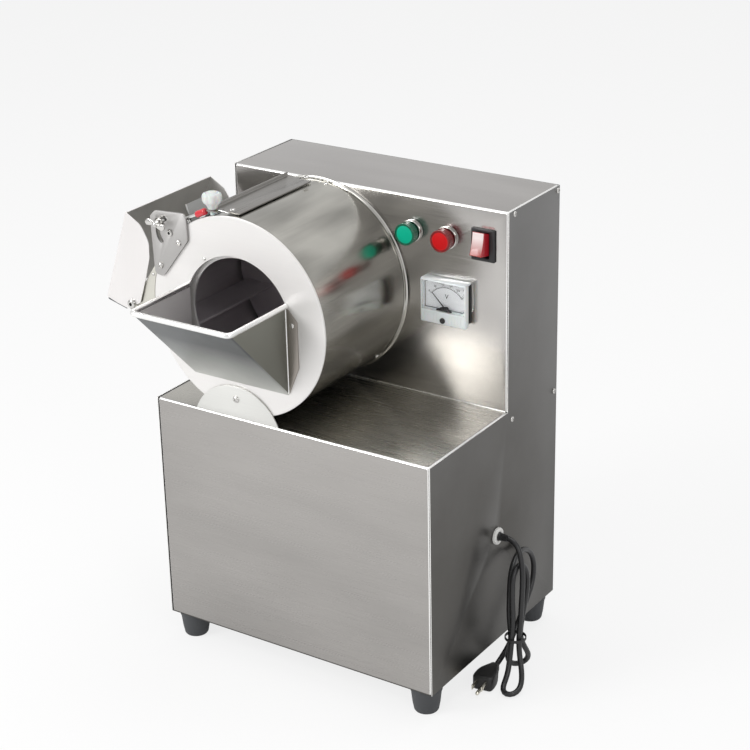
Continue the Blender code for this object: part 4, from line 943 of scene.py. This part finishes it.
def addMeter():
    x, z = middle = controls["meter"]
    half, face, back, dial = meter["half"], meter["face"], meter["coverBack"], meter["dialFace"]
    behind = machine["console"] - gap
    cover = boxAbout(middle, half, face, back)
    roundEdges(cover, meter["round"], 4)
    low, high = z - half[1] + meter["sill"], z + half[1] - meter["edge"]
    wide = half[0] - meter["edge"]
    cutAway(cover, block((x - wide, face - past, low), (x + wide, back + past, high)))
    margin, groove = meter["grooveMargin"], meter["grooveHalf"]
    for k in (-6, -5, -4, -3, -2, 2, 3, 4, 5, 6):
        at = x + k * meter["grooves"]
        cutAway(cover, block((at - groove, face - past, z - half[1] + margin),
                             (at + groove, face + meter["grooveDeep"], low - margin)))
    across, deep, top = half[0] - meter["lidInset"], meter["lidDeep"], z + half[1]
    lid = block((x - across, face + deep, top - deep), (x + across, behind, top + meter["lidUp"]))
    roundEdges(lid, meter["lidRound"])
    dress(joinAll([cover, lid]), "meterCover", "coverPlastic", "voltmeter_case", 30)

    base = boxAbout(middle, meter["base"], back, behind)
    roundEdges(base, meter["baseRound"])
    radius, deep, soft = meter["can"], meter["canDeep"], meter["canRound"]
    can = turnSolid([(radius, 0), (radius, deep - soft), (radius - soft, deep)], 56)
    putAt(can, (x, behind, z), (0, 1, 0))
    dress(can, "meterCan", "blackPlastic")
    across = wide - meter["baseInset"]
    cutAway(base, block((x - across, back - past, low), (x + across, back + meter["baseDeep"], high)))
    dress(base, "meterBase", "meterGrey", smooth=30)

    across = wide - meter["cardInset"]
    card = block((x - across, dial, low + gap), (x + across, dial + meter["card"], high - gap))
    roundEdges(card, meter["cardRound"], 1)
    dress(card, "meterDial", "dialPaper", "voltmeter_dial", 30)
    addScale(x)

    rise = meter["humpHalf"]
    hump = plateOf([(-out, up) for out, up in rise] + rise[::-1], meter["humpThick"])
    standAt(hump, (x, meter["humpAt"], low + meter["humpUp"]))
    roundEdges(hump, meter["humpRound"])
    dress(hump, "meterPivotCover", "blackPlastic")

    screw = turnSolid(meter["screw"], 32)
    long, thin = meter["screwSlot"]
    cutAway(screw, block((-long, -thin, meter["slotFrom"]), (long, thin, past)))
    putAt(screw, (x, face - gap, z - half[1] + meter["screwUp"]), (0, -1, 0), meter["screwTurn"])
    dress(screw, "meterZeroScrew", "blackPlastic", "voltmeter_zero_screw", 30)


addMeter()
print("voltmeter made")


# Hood: bright outside, with painted shade inside, on its underside and on its turned-in lower hem
hood = {
    "front": -0.097, "back": 0.071, "sheet": 0.0012, "centreOut": 0.012, "hemAt": -0.0963, "hemRadius": 0.0009,
    "hem": [(-0.2328, 0.4602), (-0.2305, 0.4590), (-0.2035, 0.4520)],
}


def addHood():
    piece = copyOf("discharge_hood")
    front, back, sheet = hood["front"], hood["back"], hood["sheet"]
    low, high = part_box("discharge_hood")
    centre = (low[0] + high[0]) / 2 + hood["centreOut"]

    def inside(middle, normal):
        if abs(normal.y) > 0.9:
            return front + sheet / 2 < middle.y < back - sheet / 2
        return normal.x > 0.5 and front + sheet < middle.y < back - sheet and middle.x < centre

    roundEdges(piece, 0.0003, 1, 50)
    # painted shade: darker steel on the inside faces and near black on the underside
    coat(piece, "hoodSteel", ("cheekSteel", lambda middle, normal: normal.x < -0.3), ("hoodInside", inside),
         ("meterGrey", lambda middle, normal: normal.z < -0.6 and normal.x < 0.6))
    dress(piece, "dischargeHood", None, "discharge_hood", 30, "hood")
    hem = pipe([(x, hood["hemAt"], z) for x, z in hood["hem"]], hood["hemRadius"])
    dress(hem, "hoodHem", "meterGrey", smooth=50, body="hood")


addHood()
print("hood lined")


# Drum: smooth front ring, double rear bead, and a shell whose inside faces get their own finish as painted shade
drumRings = {
    "inner": 0.0765, "outer": 0.126, "plate": 0.002, "beadDeep": 0.0056,
    # outward from the shell, and back along the axis
    "bead": [(0, 0), (0.0014, 0.0002), (0.0019, 0.0010), (0.0012, 0.0019), (0.0004, 0.0023), (0.0004, 0.0029),
             (0.0017, 0.0034), (0.0027, 0.0043), (0.0020, 0.0054), (0, 0.0056)],
}


def addDrum():
    x, z = machine["drumX"], machine["drumZ"]
    inner, outer, plate = drumRings["inner"], drumRings["outer"], drumRings["plate"]
    ring = turnRing([(inner, 0.0005), (inner + 0.0005, 0), (outer - 0.0007, 0), (outer, 0.0006),
                     (outer, plate), (inner, plate)], 168)
    putAt(ring, (x, machine["ringFront"], z), (0, 1, 0))
    dress(ring, "drumFrontRing", "ringSteel", "drum_front_ring", 30)
    low = machine["drumRadius"] + gap
    bead = turnRing([(low + out, back) for out, back in drumRings["bead"]], 168)
    putAt(bead, (x, machine["shellBack"] - drumRings["beadDeep"], z), (0, 1, 0))
    dress(bead, "drumRearBead", "beadSteel", "drum_rear_ring", 40)
    shell = copyOf("drum_shell")
    # the faces that look toward the axis get the painted shade finish
    coat(shell, "drumSteel", ("drumInside", lambda middle, normal: normal.dot(
        Vector((x - middle.x, 0, z - middle.z)).normalized()) > 0.5))
    dress(shell, "drumShell", None, "drum_shell", 30)


addDrum()
print("drum made")


# Feed hopper: two bent side walls and a sloping front under one rolled rim
hopper = {
    "left": -0.1055, "right": 0.0375, "back": -0.0943, "lip": -0.2037, "rim": 0.501, "foot": 0.3873,
    "sheet": 0.0012, "rimRadius": 0.0033, "turn": 0.008, "fold": 0.0024, "seam": 0.0011, "seamOut": 0.0009,
    "seamTop": 0.4975, "seamFoot": 0.003,
    # outward from the wall, and up from the floor
    "flange": [(0, 0.4985), (0.005, 0.4960), (0.016, 0.4830), (0.016, 0.4253), (0.0008, 0.3895)],
}


def hopperShell():
    left, right, back, lip, rim, foot = (hopper[key] for key in ("left", "right", "back", "lip", "rim", "foot"))
    walls = block((left, lip, foot), (right, back, rim))
    for corner in walls.data.vertices:
        if corner.co.z < (rim + foot) / 2:
            corner.co.y = back
    takeUp(walls)
    openMesh()
    bpy.ops.mesh.remove_doubles(threshold=0.0001)
    closeMesh()
    selectFaces(walls, lambda middle, normal: abs(normal.z) > 0.99 or abs(normal.y) > 0.99)
    openShell(hopper["fold"], 4)
    closeOutward()
    middle = (left + right) / 2
    outward = sum(math.copysign(1, face.normal.x * (face.center.x - middle))
                  for face in walls.data.polygons if abs(face.normal.x) > 0.9)
    if outward < 0:  # an open shell can come out inside out
        openMesh()
        bpy.ops.mesh.flip_normals()
        closeMesh()
    thicken(walls, hopper["sheet"])
    # painted reflection and shade: the inside and the side walls darker lower down, the front pale at its foot and
    # dark above
    coat(walls, "hopperInside",
         ("hopperSide", lambda place, normal: abs(normal.x) > 0.9 and normal.x * (place.x - middle) > 0),
         ("hopperFront", lambda place, normal: normal.y < -0.3 and abs(normal.x) < 0.9))
    return walls


def addHopper():
    left, right, back, lip, rim = (hopper[key] for key in ("left", "right", "back", "lip", "rim"))
    dress(hopperShell(), "hopperWalls", None, "hopper", 40)
    a, b, c, d = (left, back, rim), (left, lip, rim), (right, lip, rim), (right, back, rim)
    turn = hopper["turn"]
    roll = pipe([(left, back - gap, rim), *roundedTurn(a, b, c, turn, 8), *roundedTurn(b, c, d, turn, 8),
                 (right, back - gap, rim)], hopper["rimRadius"])
    # the rolled rim's near-white tone is a painted highlight
    dress(roll, "hopperRim", "rimSteel", smooth=40)

    flanges = []
    for side, wall in ((-1, left), (1, right)):
        outline = [(wall + side * out, up) for out, up in hopper["flange"]]
        plate = plateOf(outline[::side], hopper["sheet"])
        standAt(plate, (0, back, 0))
        roundEdges(plate, 0.0003)
        flanges.append(plate)
    dress(joinAll(flanges), "hopperFlanges", "flangeSteel", smooth=30)
    # near-white rods down the folds between walls and flanges: a painted highlight
    y, foot = back - hopper["seamOut"], hopper["foot"] + hopper["seamFoot"]
    folds = [pipe([(wall, y, hopper["seamTop"]), (wall, y, foot)], hopper["seam"]) for wall in (left, right)]
    dress(joinAll(folds), "hopperFolds", "rimSteel", smooth=40)


addHopper()
print("hopper made")


# Saddle, brackets, strap and cheek get soft edges
softened = {
    # node: piece, finish, edge width, slot, body
    "saddle_bracket": ("saddleBracket", "saddleSteel", 0.0004, "stainless_polished", "root"),
    "adjust_bracket": ("adjustBracket", "plateSteel", 0.0005, "bracket_steel", "root"),
    "clamp_strap": ("clampStrap", "strapSteel", 0.0003, "stainless_polished", "root"),
    "chute_cheek_front": ("chuteCheekFront", "cheekSteel", 0.0003, "stainless_polished", "root"),
    "knife_plate": ("knifePlate", "finSteel", 0.0003, "bracket_steel", "knife_holder"),
}


def softenSheets():
    for node, (name, finish, width, slot, body) in softened.items():
        piece = copyOf(node)
        roundEdges(piece, width, 2, 40)
        dress(piece, name, finish, node, 30, body)


softenSheets()
print("sheets softened:", len(softened))


# Knife lever, wing bolt, pivot pin and hood screws
lever = {
    "pivot": (-0.127738, 0.563296), "angle": 25.41, "y": -0.0915, "rod": 0.0021, "turn": 0.0028,
    "foot": (0.02249, 0.0018), "above": 0.0086, "inset": 0.007, "gripFrom": 0.0465, "gripLong": 0.0165,
    "inGrip": 0.003,  # the rod ends so far short of the grip's end
    "grip": [(0.0024, 0.0002), (0.0034, 0.0001), (0.0040, 0.0006), (0.0043, 0.0018), (0.0043, 0.0050),
             (0.0041, 0.0085), (0.0043, 0.0120), (0.0043, 0.0135), (0.0039, 0.0151), (0.0030, 0.0161),
             (0.0012, 0.0165)],
}


def holderPoint(along, above, y):
    turn = math.radians(lever["angle"])
    x, z = lever["pivot"]
    return (x + along * math.cos(turn) - above * math.sin(turn), y,
            z + along * math.sin(turn) + above * math.cos(turn))


def addLever():
    y, deep, above, bend = lever["y"], lever["y"] + lever["inset"], lever["above"], lever["turn"]
    start, end = lever["gripFrom"], lever["gripFrom"] + lever["gripLong"] - lever["inGrip"]
    a, b = holderPoint(*lever["foot"], deep), holderPoint(lever["foot"][0], above, deep)
    c, d = holderPoint(lever["foot"][0], above, y), holderPoint(end, above, y)
    rod = pipe([a, *roundedTurn(a, b, c, bend, 6), *roundedTurn(b, c, d, bend, 6), d], lever["rod"])
    dress(rod, "leverRod", "rodSteel", "lever_rod", 40, "knife_holder")

    grip = turnSolid(lever["grip"], 40)
    turn = math.radians(lever["angle"])
    putAt(grip, holderPoint(start, above, y), (math.cos(turn), 0, math.sin(turn)))
    dress(grip, "leverGrip", "gripRed", "lever_grip", 50, "knife_holder")


wing = {
    "place": (-0.142483, -0.0976, 0.57362), "tilt": 162, "thick": 0.0024, "petalRound": 0.001, "petalAt": 0.0068,
    "hub": [(0.0025, -0.0088), (0.0025, 0), (0.0064, 0), (0.0064, 0.0011), (0.0050, 0.0013), (0.0050, 0.0028),
            (0.0045, 0.0060), (0.0036, 0.0092), (0.0024, 0.0104), (0.0008, 0.0108)],
    "petal": [(0.0022, -0.0024), (0.0060, -0.0030), (0.0100, -0.0036), (0.0132, -0.0020), (0.0148, 0.0012),
              (0.0140, 0.0044), (0.0112, 0.0058), (0.0080, 0.0046), (0.0050, 0.0030), (0.0022, 0.0026)],
}


def addWingBolt():
    parts = [turnSolid(wing["hub"], 40)]
    for side in (0, 180):
        plate = plateOf(wing["petal"], wing["thick"])
        roundEdges(plate, wing["petalRound"], 3, 50)
        settle(plate, turnAbout("Z", side) @ Matrix.Translation((0, 0, wing["petalAt"])))
        parts.append(plate)
    bolt = joinAll(parts)
    settle(bolt, Matrix.Translation(wing["place"]) @ turnAbout("Y", -wing["tilt"]) @ turnAbout("X", 90))
    dress(bolt, "wingBolt", "chromeSteel", "wing_bolt", 50, "wing_bolt")


pins = {
    # head radius, head height, socket radius, socket depth
    "pivot": (0.0042, 0.0015, 0.0019, 0.0012), "hood": (0.0058, 0.0032, 0.0023, 0.0020),
    "pivotAt": -0.0976, "hoodAt": (-0.1947, 0.4598), "hoodEnds": {"Front": (-0.0973, -1), "Rear": (0.0713, 1)},
    "rod": [(0.0030, 0), (0.0030, 0.180), (0.0024, 0.1803)], "shank": [(0.003, 0), (0.003, 0.0055)],
    "rivets": {
        # name: place, finish, profile
        "cheekRivet": ((-0.160, -0.094, 0.504), "screwSteel",
                       [(0.0024, 0), (0.0022, 0.0006), (0.0014, 0.0010), (0.0004, 0.0011)]),
        "mouthRivet": ((-0.0798, -0.094, 0.5385), "rodSteel",
                       [(0.0022, 0), (0.0021, 0.0008), (0.0014, 0.0013), (0.0004, 0.0014)]),
    },
}


# a socket head looking one way, joined to its shank behind it
def socketScrew(place, way, head, rise, socket, deep, shankProfile, sides):
    piece = turnSolid([(head, 0), (head, rise * 0.55), (head * 0.86, rise * 0.85), (head * 0.62, rise),
                       (socket, rise), (socket * 0.92, rise - deep), (socket * 0.3, rise - deep)], 36)
    # the socket's recess is painted near black as shade
    coat(piece, "chromeSteel", ("socketDark", lambda middle, normal: middle.z > rise - deep - 0.0001
                                and math.hypot(middle.x, middle.y) < socket * 1.01))
    putAt(piece, place, (0, way, 0))
    shank = turnSolid(shankProfile, sides)
    putAt(shank, place, (0, -way, 0))
    coat(shank, "brightSteel")
    return joinAll([piece, shank])


def addPins():
    x, z = lever["pivot"]
    pin = socketScrew((x, pins["pivotAt"], z), -1, *pins["pivot"], pins["rod"], 32)
    dress(pin, "pivotPin", None, "pivot_pin", 50)
    x, z = pins["hoodAt"]
    for name, (y, way) in pins["hoodEnds"].items():
        screw = socketScrew((x, y, z), way, *pins["hood"], pins["shank"], 24)
        dress(screw, "hoodScrew" + name, None, "hood_screw_" + name.lower(), 50)
    for name, (place, finish, profile) in pins["rivets"].items():
        rivet = turnSolid(profile, 24)
        putAt(rivet, place, (0, -1, 0))
        dress(rivet, name, finish, smooth=50)


addLever()
addWingBolt()
addPins()
print("lever, bolts and pins made")


# Clamp knob: seven soft lobes over a flared skirt, with a ringed top and a thin stay to the strap
knob = {
    "place": (-0.0655, -0.0910, 0.5947), "lobes": 7, "swell": 0.13, "skirt": 0.011, "core": 0.0078,
    "blendFrom": 0.0076, "blend": 0.003, "level": 0.62, "sharpness": 0.7,
    "profile": [(0.0030, 0), (0.0030, 0.0066), (0.0052, 0.0074), (0.0060, 0.0090), (0.0074, 0.0122),
                (0.0100, 0.0152), (0.0112, 0.0168), (0.0116, 0.0190), (0.0116, 0.0226), (0.0111, 0.0248),
                (0.0100, 0.0264), (0.0084, 0.0272), (0.0076, 0.0273), (0.0071, 0.0267), (0.0064, 0.0267),
                (0.0056, 0.0275), (0.0036, 0.0284), (0.0010, 0.0287)],
    "stay": [(-0.0560, -0.0906, 0.6015), (-0.0530, -0.0904, 0.6014), (-0.0430, -0.0892, 0.5998)],
    "stayRadius": 0.0009,
}


def addKnob():
    piece = turnSolid(knob["profile"], 126)
    for corner in piece.data.vertices:
        radius = math.hypot(corner.co.x, corner.co.y)
        if radius > knob["core"] and corner.co.z > knob["skirt"]:
            wave = abs(math.cos(knob["lobes"] * math.atan2(corner.co.y, corner.co.x) / 2))
            share = min(1, (radius - knob["blendFrom"]) / knob["blend"])
            factor = 1 + share * knob["swell"] * (wave ** knob["sharpness"] - knob["level"])
            corner.co.x *= factor
            corner.co.y *= factor
    putAt(piece, knob["place"])
    dress(piece, "clampKnob", "milkyPlastic", "clamp_knob", 60, "clamp_knob")
    stay = pipe(knob["stay"], knob["stayRadius"])
    dress(stay, "strapStay", "rodSteel", smooth=50)


addKnob()
print("knob made")


# Feet: tapered rubber with a rounded base and a top rim
foot = {"base": 0.0155, "top": 0.0200, "tall": 0.0357,
        "x": {"Left": -0.1435, "Right": 0.2125}, "y": {"Front": -0.075, "Rear": 0.185}}


def addFeet():
    base, top, tall = foot["base"], foot["top"], foot["tall"]
    model = turnSolid([(base - 0.0030, 0), (base - 0.0012, 0.0005), (base, 0.0022), (base + 0.0018, 0.0120),
                       (top - 0.0010, tall - 0.0080), (top, tall - 0.0060), (top, tall - 0.0012),
                       (top - 0.0010, tall)], 56)
    for side, x in foot["x"].items():
        for end, y in foot["y"].items():
            piece = ownCopy(model)
            putAt(piece, (x, y, 0))
            node = "foot_" + end.lower() + "_" + side.lower()
            dress(piece, "foot" + end + side, "footRubber", node, 40)
    bpy.data.objects.remove(model)


addFeet()
print("feet made")


# Cord fittings: bushing ring, ribbed strain relief, tie and plug
fittings = {
    "exit": (0.2345, 0.057, 0.185), "nose": (0.2505, -0.007), "heading": (-0.14, 0.99), "long": 0.048,
    "rise": 0.0005, "tall": 0.020, "taperFrom": 0.020, "taper": 0.46, "tieAt": (0.2695, 0.044, 0.058),
    "blade": (0.00075, 0.0032), "bladeLong": 0.016, "bladeApart": 0.0063, "bladeUp": 0.013, "eyeAt": -0.0118,
    "ribs": {"count": 4, "from": 0.0052, "step": 0.0026, "radius": 0.0051, "taper": 0.00022, "deep": 0.0006},
    "grooves": {"count": 4, "from": 0.0225, "step": 0.0042, "wide": 0.0014, "core": 0.0116, "taper": 0.0016},
    "bodyRound": 0.0034, "bladeIn": 0.004, "eye": 0.0013, "pinUp": 0.005,
    # along the plug from its nose, and half its width
    "half": [(0, 0.0116), (0.004, 0.0132), (0.010, 0.0137), (0.018, 0.0132), (0.025, 0.0118), (0.031, 0.0098),
             (0.036, 0.0080), (0.042, 0.0062), (0.048, 0.0052)],
    "pin": [(0.0024, -0.004), (0.0024, 0.0140), (0.0019, 0.0158), (0.0008, 0.0166)],
    "bushing": [(0.0055, -0.0052), (0.0072, -0.0052), (0.0072, 0.0003), (0.0110, 0.0003), (0.0110, 0.0022),
                (0.0104, 0.0036), (0.0092, 0.0042), (0.0072, 0.0042), (0.0060, 0.0036), (0.0055, 0.0024)],
    "tie": [(0.0126, -0.0019), (0.0134, -0.0020), (0.0138, -0.0012), (0.0135, 0), (0.0138, 0.0012),
            (0.0134, 0.0020), (0.0126, 0.0019)],
}


def addBushing():
    ring = turnRing(fittings["bushing"], 56)
    putAt(ring, fittings["exit"], (1, 0, 0))
    dress(ring, "cordBushing", "whitePlastic", "cord_bushing", 40)
    ribs = fittings["ribs"]
    profile = [(0.0052, -0.004), (0.0052, 0.0050)]
    for k in range(ribs["count"]):
        start, radius = ribs["from"] + k * ribs["step"], ribs["radius"] - k * ribs["taper"]
        low = radius - ribs["deep"]
        profile += [(radius, start), (radius, start + 0.0014), (low, start + 0.0017), (low, start + 0.0024)]
    relief = turnSolid(profile + [(0.0043, 0.0157), (0.0040, 0.0160)], 40)
    putAt(relief, fittings["exit"], (1, 0, 0))
    return dress(relief, "strainRelief", "cordRubber", "strain_relief", 40)


# the moulded body tapers to the cord, with grip grooves on both sides
def plugBody():
    long, middle, taperFrom = fittings["long"], fittings["tall"] / 2, fittings["taperFrom"]
    half = fittings["half"]
    body = plateOf(half + [(u, -v) for u, v in half[::-1]], fittings["tall"])
    for corner in body.data.vertices:
        share = max(0, corner.co.x - taperFrom) / (long - taperFrom)
        corner.co.z = middle + (corner.co.z - middle) * (1 - fittings["taper"] * share ** 1.4)
    roundEdges(body, fittings["bodyRound"], 5, 40)
    grooves, tall, wide = fittings["grooves"], fittings["tall"], fittings["grooves"]["wide"]
    for k in range(grooves["count"]):
        at, core = grooves["from"] + k * grooves["step"], grooves["core"] - k * grooves["taper"]
        cutter = block((at, -2 * past, -past), (at + wide, 2 * past, tall + past))
        cutAway(cutter, block((at - past, -core, -2 * past), (at + wide + past, core, tall + 2 * past)))
        cutAway(body, cutter)
    coat(body, "plugBlack")
    return body


def addPlug():
    parts = [plugBody()]
    thin, tall = fittings["blade"]
    up = fittings["bladeUp"]
    for side in (-fittings["bladeApart"], fittings["bladeApart"]):
        blade = block((-fittings["bladeLong"], side - thin, up - tall), (fittings["bladeIn"], side + thin, up + tall))
        eye = turnSolid([(fittings["eye"], -past), (fittings["eye"], past)], 24)
        putAt(eye, (fittings["eyeAt"], side, up), (0, 1, 0))
        cutAway(blade, eye)
        roundEdges(blade, 0.0003)
        coat(blade, "nickel")
        parts.append(blade)
    pin = turnSolid(fittings["pin"], 28)
    putAt(pin, (0, 0, fittings["pinUp"]), (-1, 0, 0))
    coat(pin, "nickel")
    plug = joinAll(parts + [pin])
    ahead = Vector((*fittings["heading"], 0)).normalized()
    across = Vector((-ahead.y, ahead.x, 0))
    settle(plug, Matrix.Translation((*fittings["nose"], fittings["rise"]))
           @ Matrix((ahead, across, Vector((0, 0, 1)))).transposed().to_4x4())
    return dress(plug, "mainsPlug", None, "plug_body", 40)


def addTie():
    ring = turnRing(fittings["tie"], 56)
    putAt(ring, fittings["tieAt"])
    return dress(ring, "cordTie", "blackPlastic", "cord_tie", 50)


relief = addBushing()
plug = addPlug()
tie = addTie()
print("cord fittings made")


# Mains cord
cordFacts = {
    "diameter": 0.007, "stations": 190, "softening": 3,
    # outward from the right side, back from the front, and up from the floor
    "route": [
        (0.0163, 0.154, 0.185), (0.022, 0.154, 0.185), (0.029, 0.153, 0.181), (0.035, 0.151, 0.17),
        (0.04, 0.148, 0.152), (0.042, 0.145, 0.13), (0.042, 0.143, 0.106), (0.042, 0.141, 0.082),
        (0.041, 0.139, 0.058), (0.045, 0.134, 0.038), (0.052, 0.127, 0.022), (0.0585, 0.115, 0.01),
        (0.059, 0.1045, 0.0055), (0.0555, 0.0965, 0.0042), (0.0488, 0.0932, 0.004), (0.042, 0.0965, 0.005),
        (0.0385, 0.1045, 0.0085), (0.0382, 0.115, 0.0165), (0.036, 0.125, 0.034), (0.034, 0.133, 0.058),
        (0.035, 0.134, 0.084), (0.034, 0.134, 0.108), (0.033, 0.1355, 0.128), (0.032, 0.138, 0.1415),
        (0.0318, 0.1448, 0.151), (0.0322, 0.1535, 0.154), (0.0335, 0.1622, 0.15), (0.0352, 0.1676, 0.1385),
        (0.0362, 0.168, 0.124), (0.037, 0.162, 0.102), (0.037, 0.154, 0.08), (0.037, 0.149, 0.058),
        (0.039, 0.156, 0.039), (0.039, 0.1665, 0.0235), (0.036, 0.1725, 0.0115), (0.0305, 0.1705, 0.0046),
        (0.0245, 0.163, 0.0042), (0.0208, 0.153, 0.01), (0.0212, 0.1455, 0.0235), (0.026, 0.143, 0.04),
        (0.028, 0.142, 0.058), (0.026, 0.141, 0.086), (0.025, 0.143, 0.114), (0.021, 0.153, 0.137),
        (0.016, 0.173, 0.149), (0.012, 0.197, 0.149), (0.011, 0.219, 0.136), (0.011, 0.23, 0.115),
        (0.012, 0.226, 0.092), (0.014, 0.207, 0.073), (0.0155, 0.186, 0.056), (0.015, 0.171, 0.04),
        (0.0125, 0.162, 0.026), (0.009, 0.154, 0.0155), (0.0084, 0.144, 0.0108), (0.0092, 0.1379, 0.0105),
    ],
}


# a smooth line through the given points, straight at its two ends
def throughPoints(points, share=8):
    knots = [2 * points[0] - points[1]] + points + [2 * points[-1] - points[-2]]
    line = []
    for a, b, c, d in zip(knots, knots[1:], knots[2:], knots[3:]):
        for k in range(share):
            t = k / share
            line.append(0.5 * (2 * b + (c - a) * t + (2 * a - 5 * b + 4 * c - d) * t ** 2
                               + (3 * b - a - 3 * c + d) * t ** 3))
    return line + [points[-1]]


# stations at even steps along a line, each softened by its neighbours
def evenly(line, count):
    travelled = [0.0]
    for a, b in zip(line, line[1:]):
        travelled.append(travelled[-1] + (b - a).length)
    spaced, k = [], 0
    for j in range(count + 1):
        goal = travelled[-1] * j / count
        while k < len(line) - 2 and travelled[k + 1] < goal:
            k += 1
        spaced.append(line[k].lerp(line[k + 1], (goal - travelled[k]) / (travelled[k + 1] - travelled[k])))
    for _ in range(cordFacts["softening"]):
        inner = [(a + 2 * b + c) / 4 for a, b, c in zip(spaced, spaced[1:], spaced[2:])]
        spaced = spaced[:1] + inner + spaced[-1:]
    return spaced


def layCord():
    places = [Vector((machine["right"] + out, machine["front"] + back, up))
              for out, back, up in cordFacts["route"]]
    line = evenly(throughPoints(places), cordFacts["stations"])
    cord = curveAlong("mainsCord", line, cordFacts["diameter"] / 2, 4)
    cord.data.materials.append(finishes["cordRubber"])
    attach(cord, "root")
    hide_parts("power_cord")
    length = sum((b - a).length for a, b in zip(line, line[1:]))
    print("cord length", round(length, 4))
    return cord, line, length


cord, cordLine, cordLength = layCord()
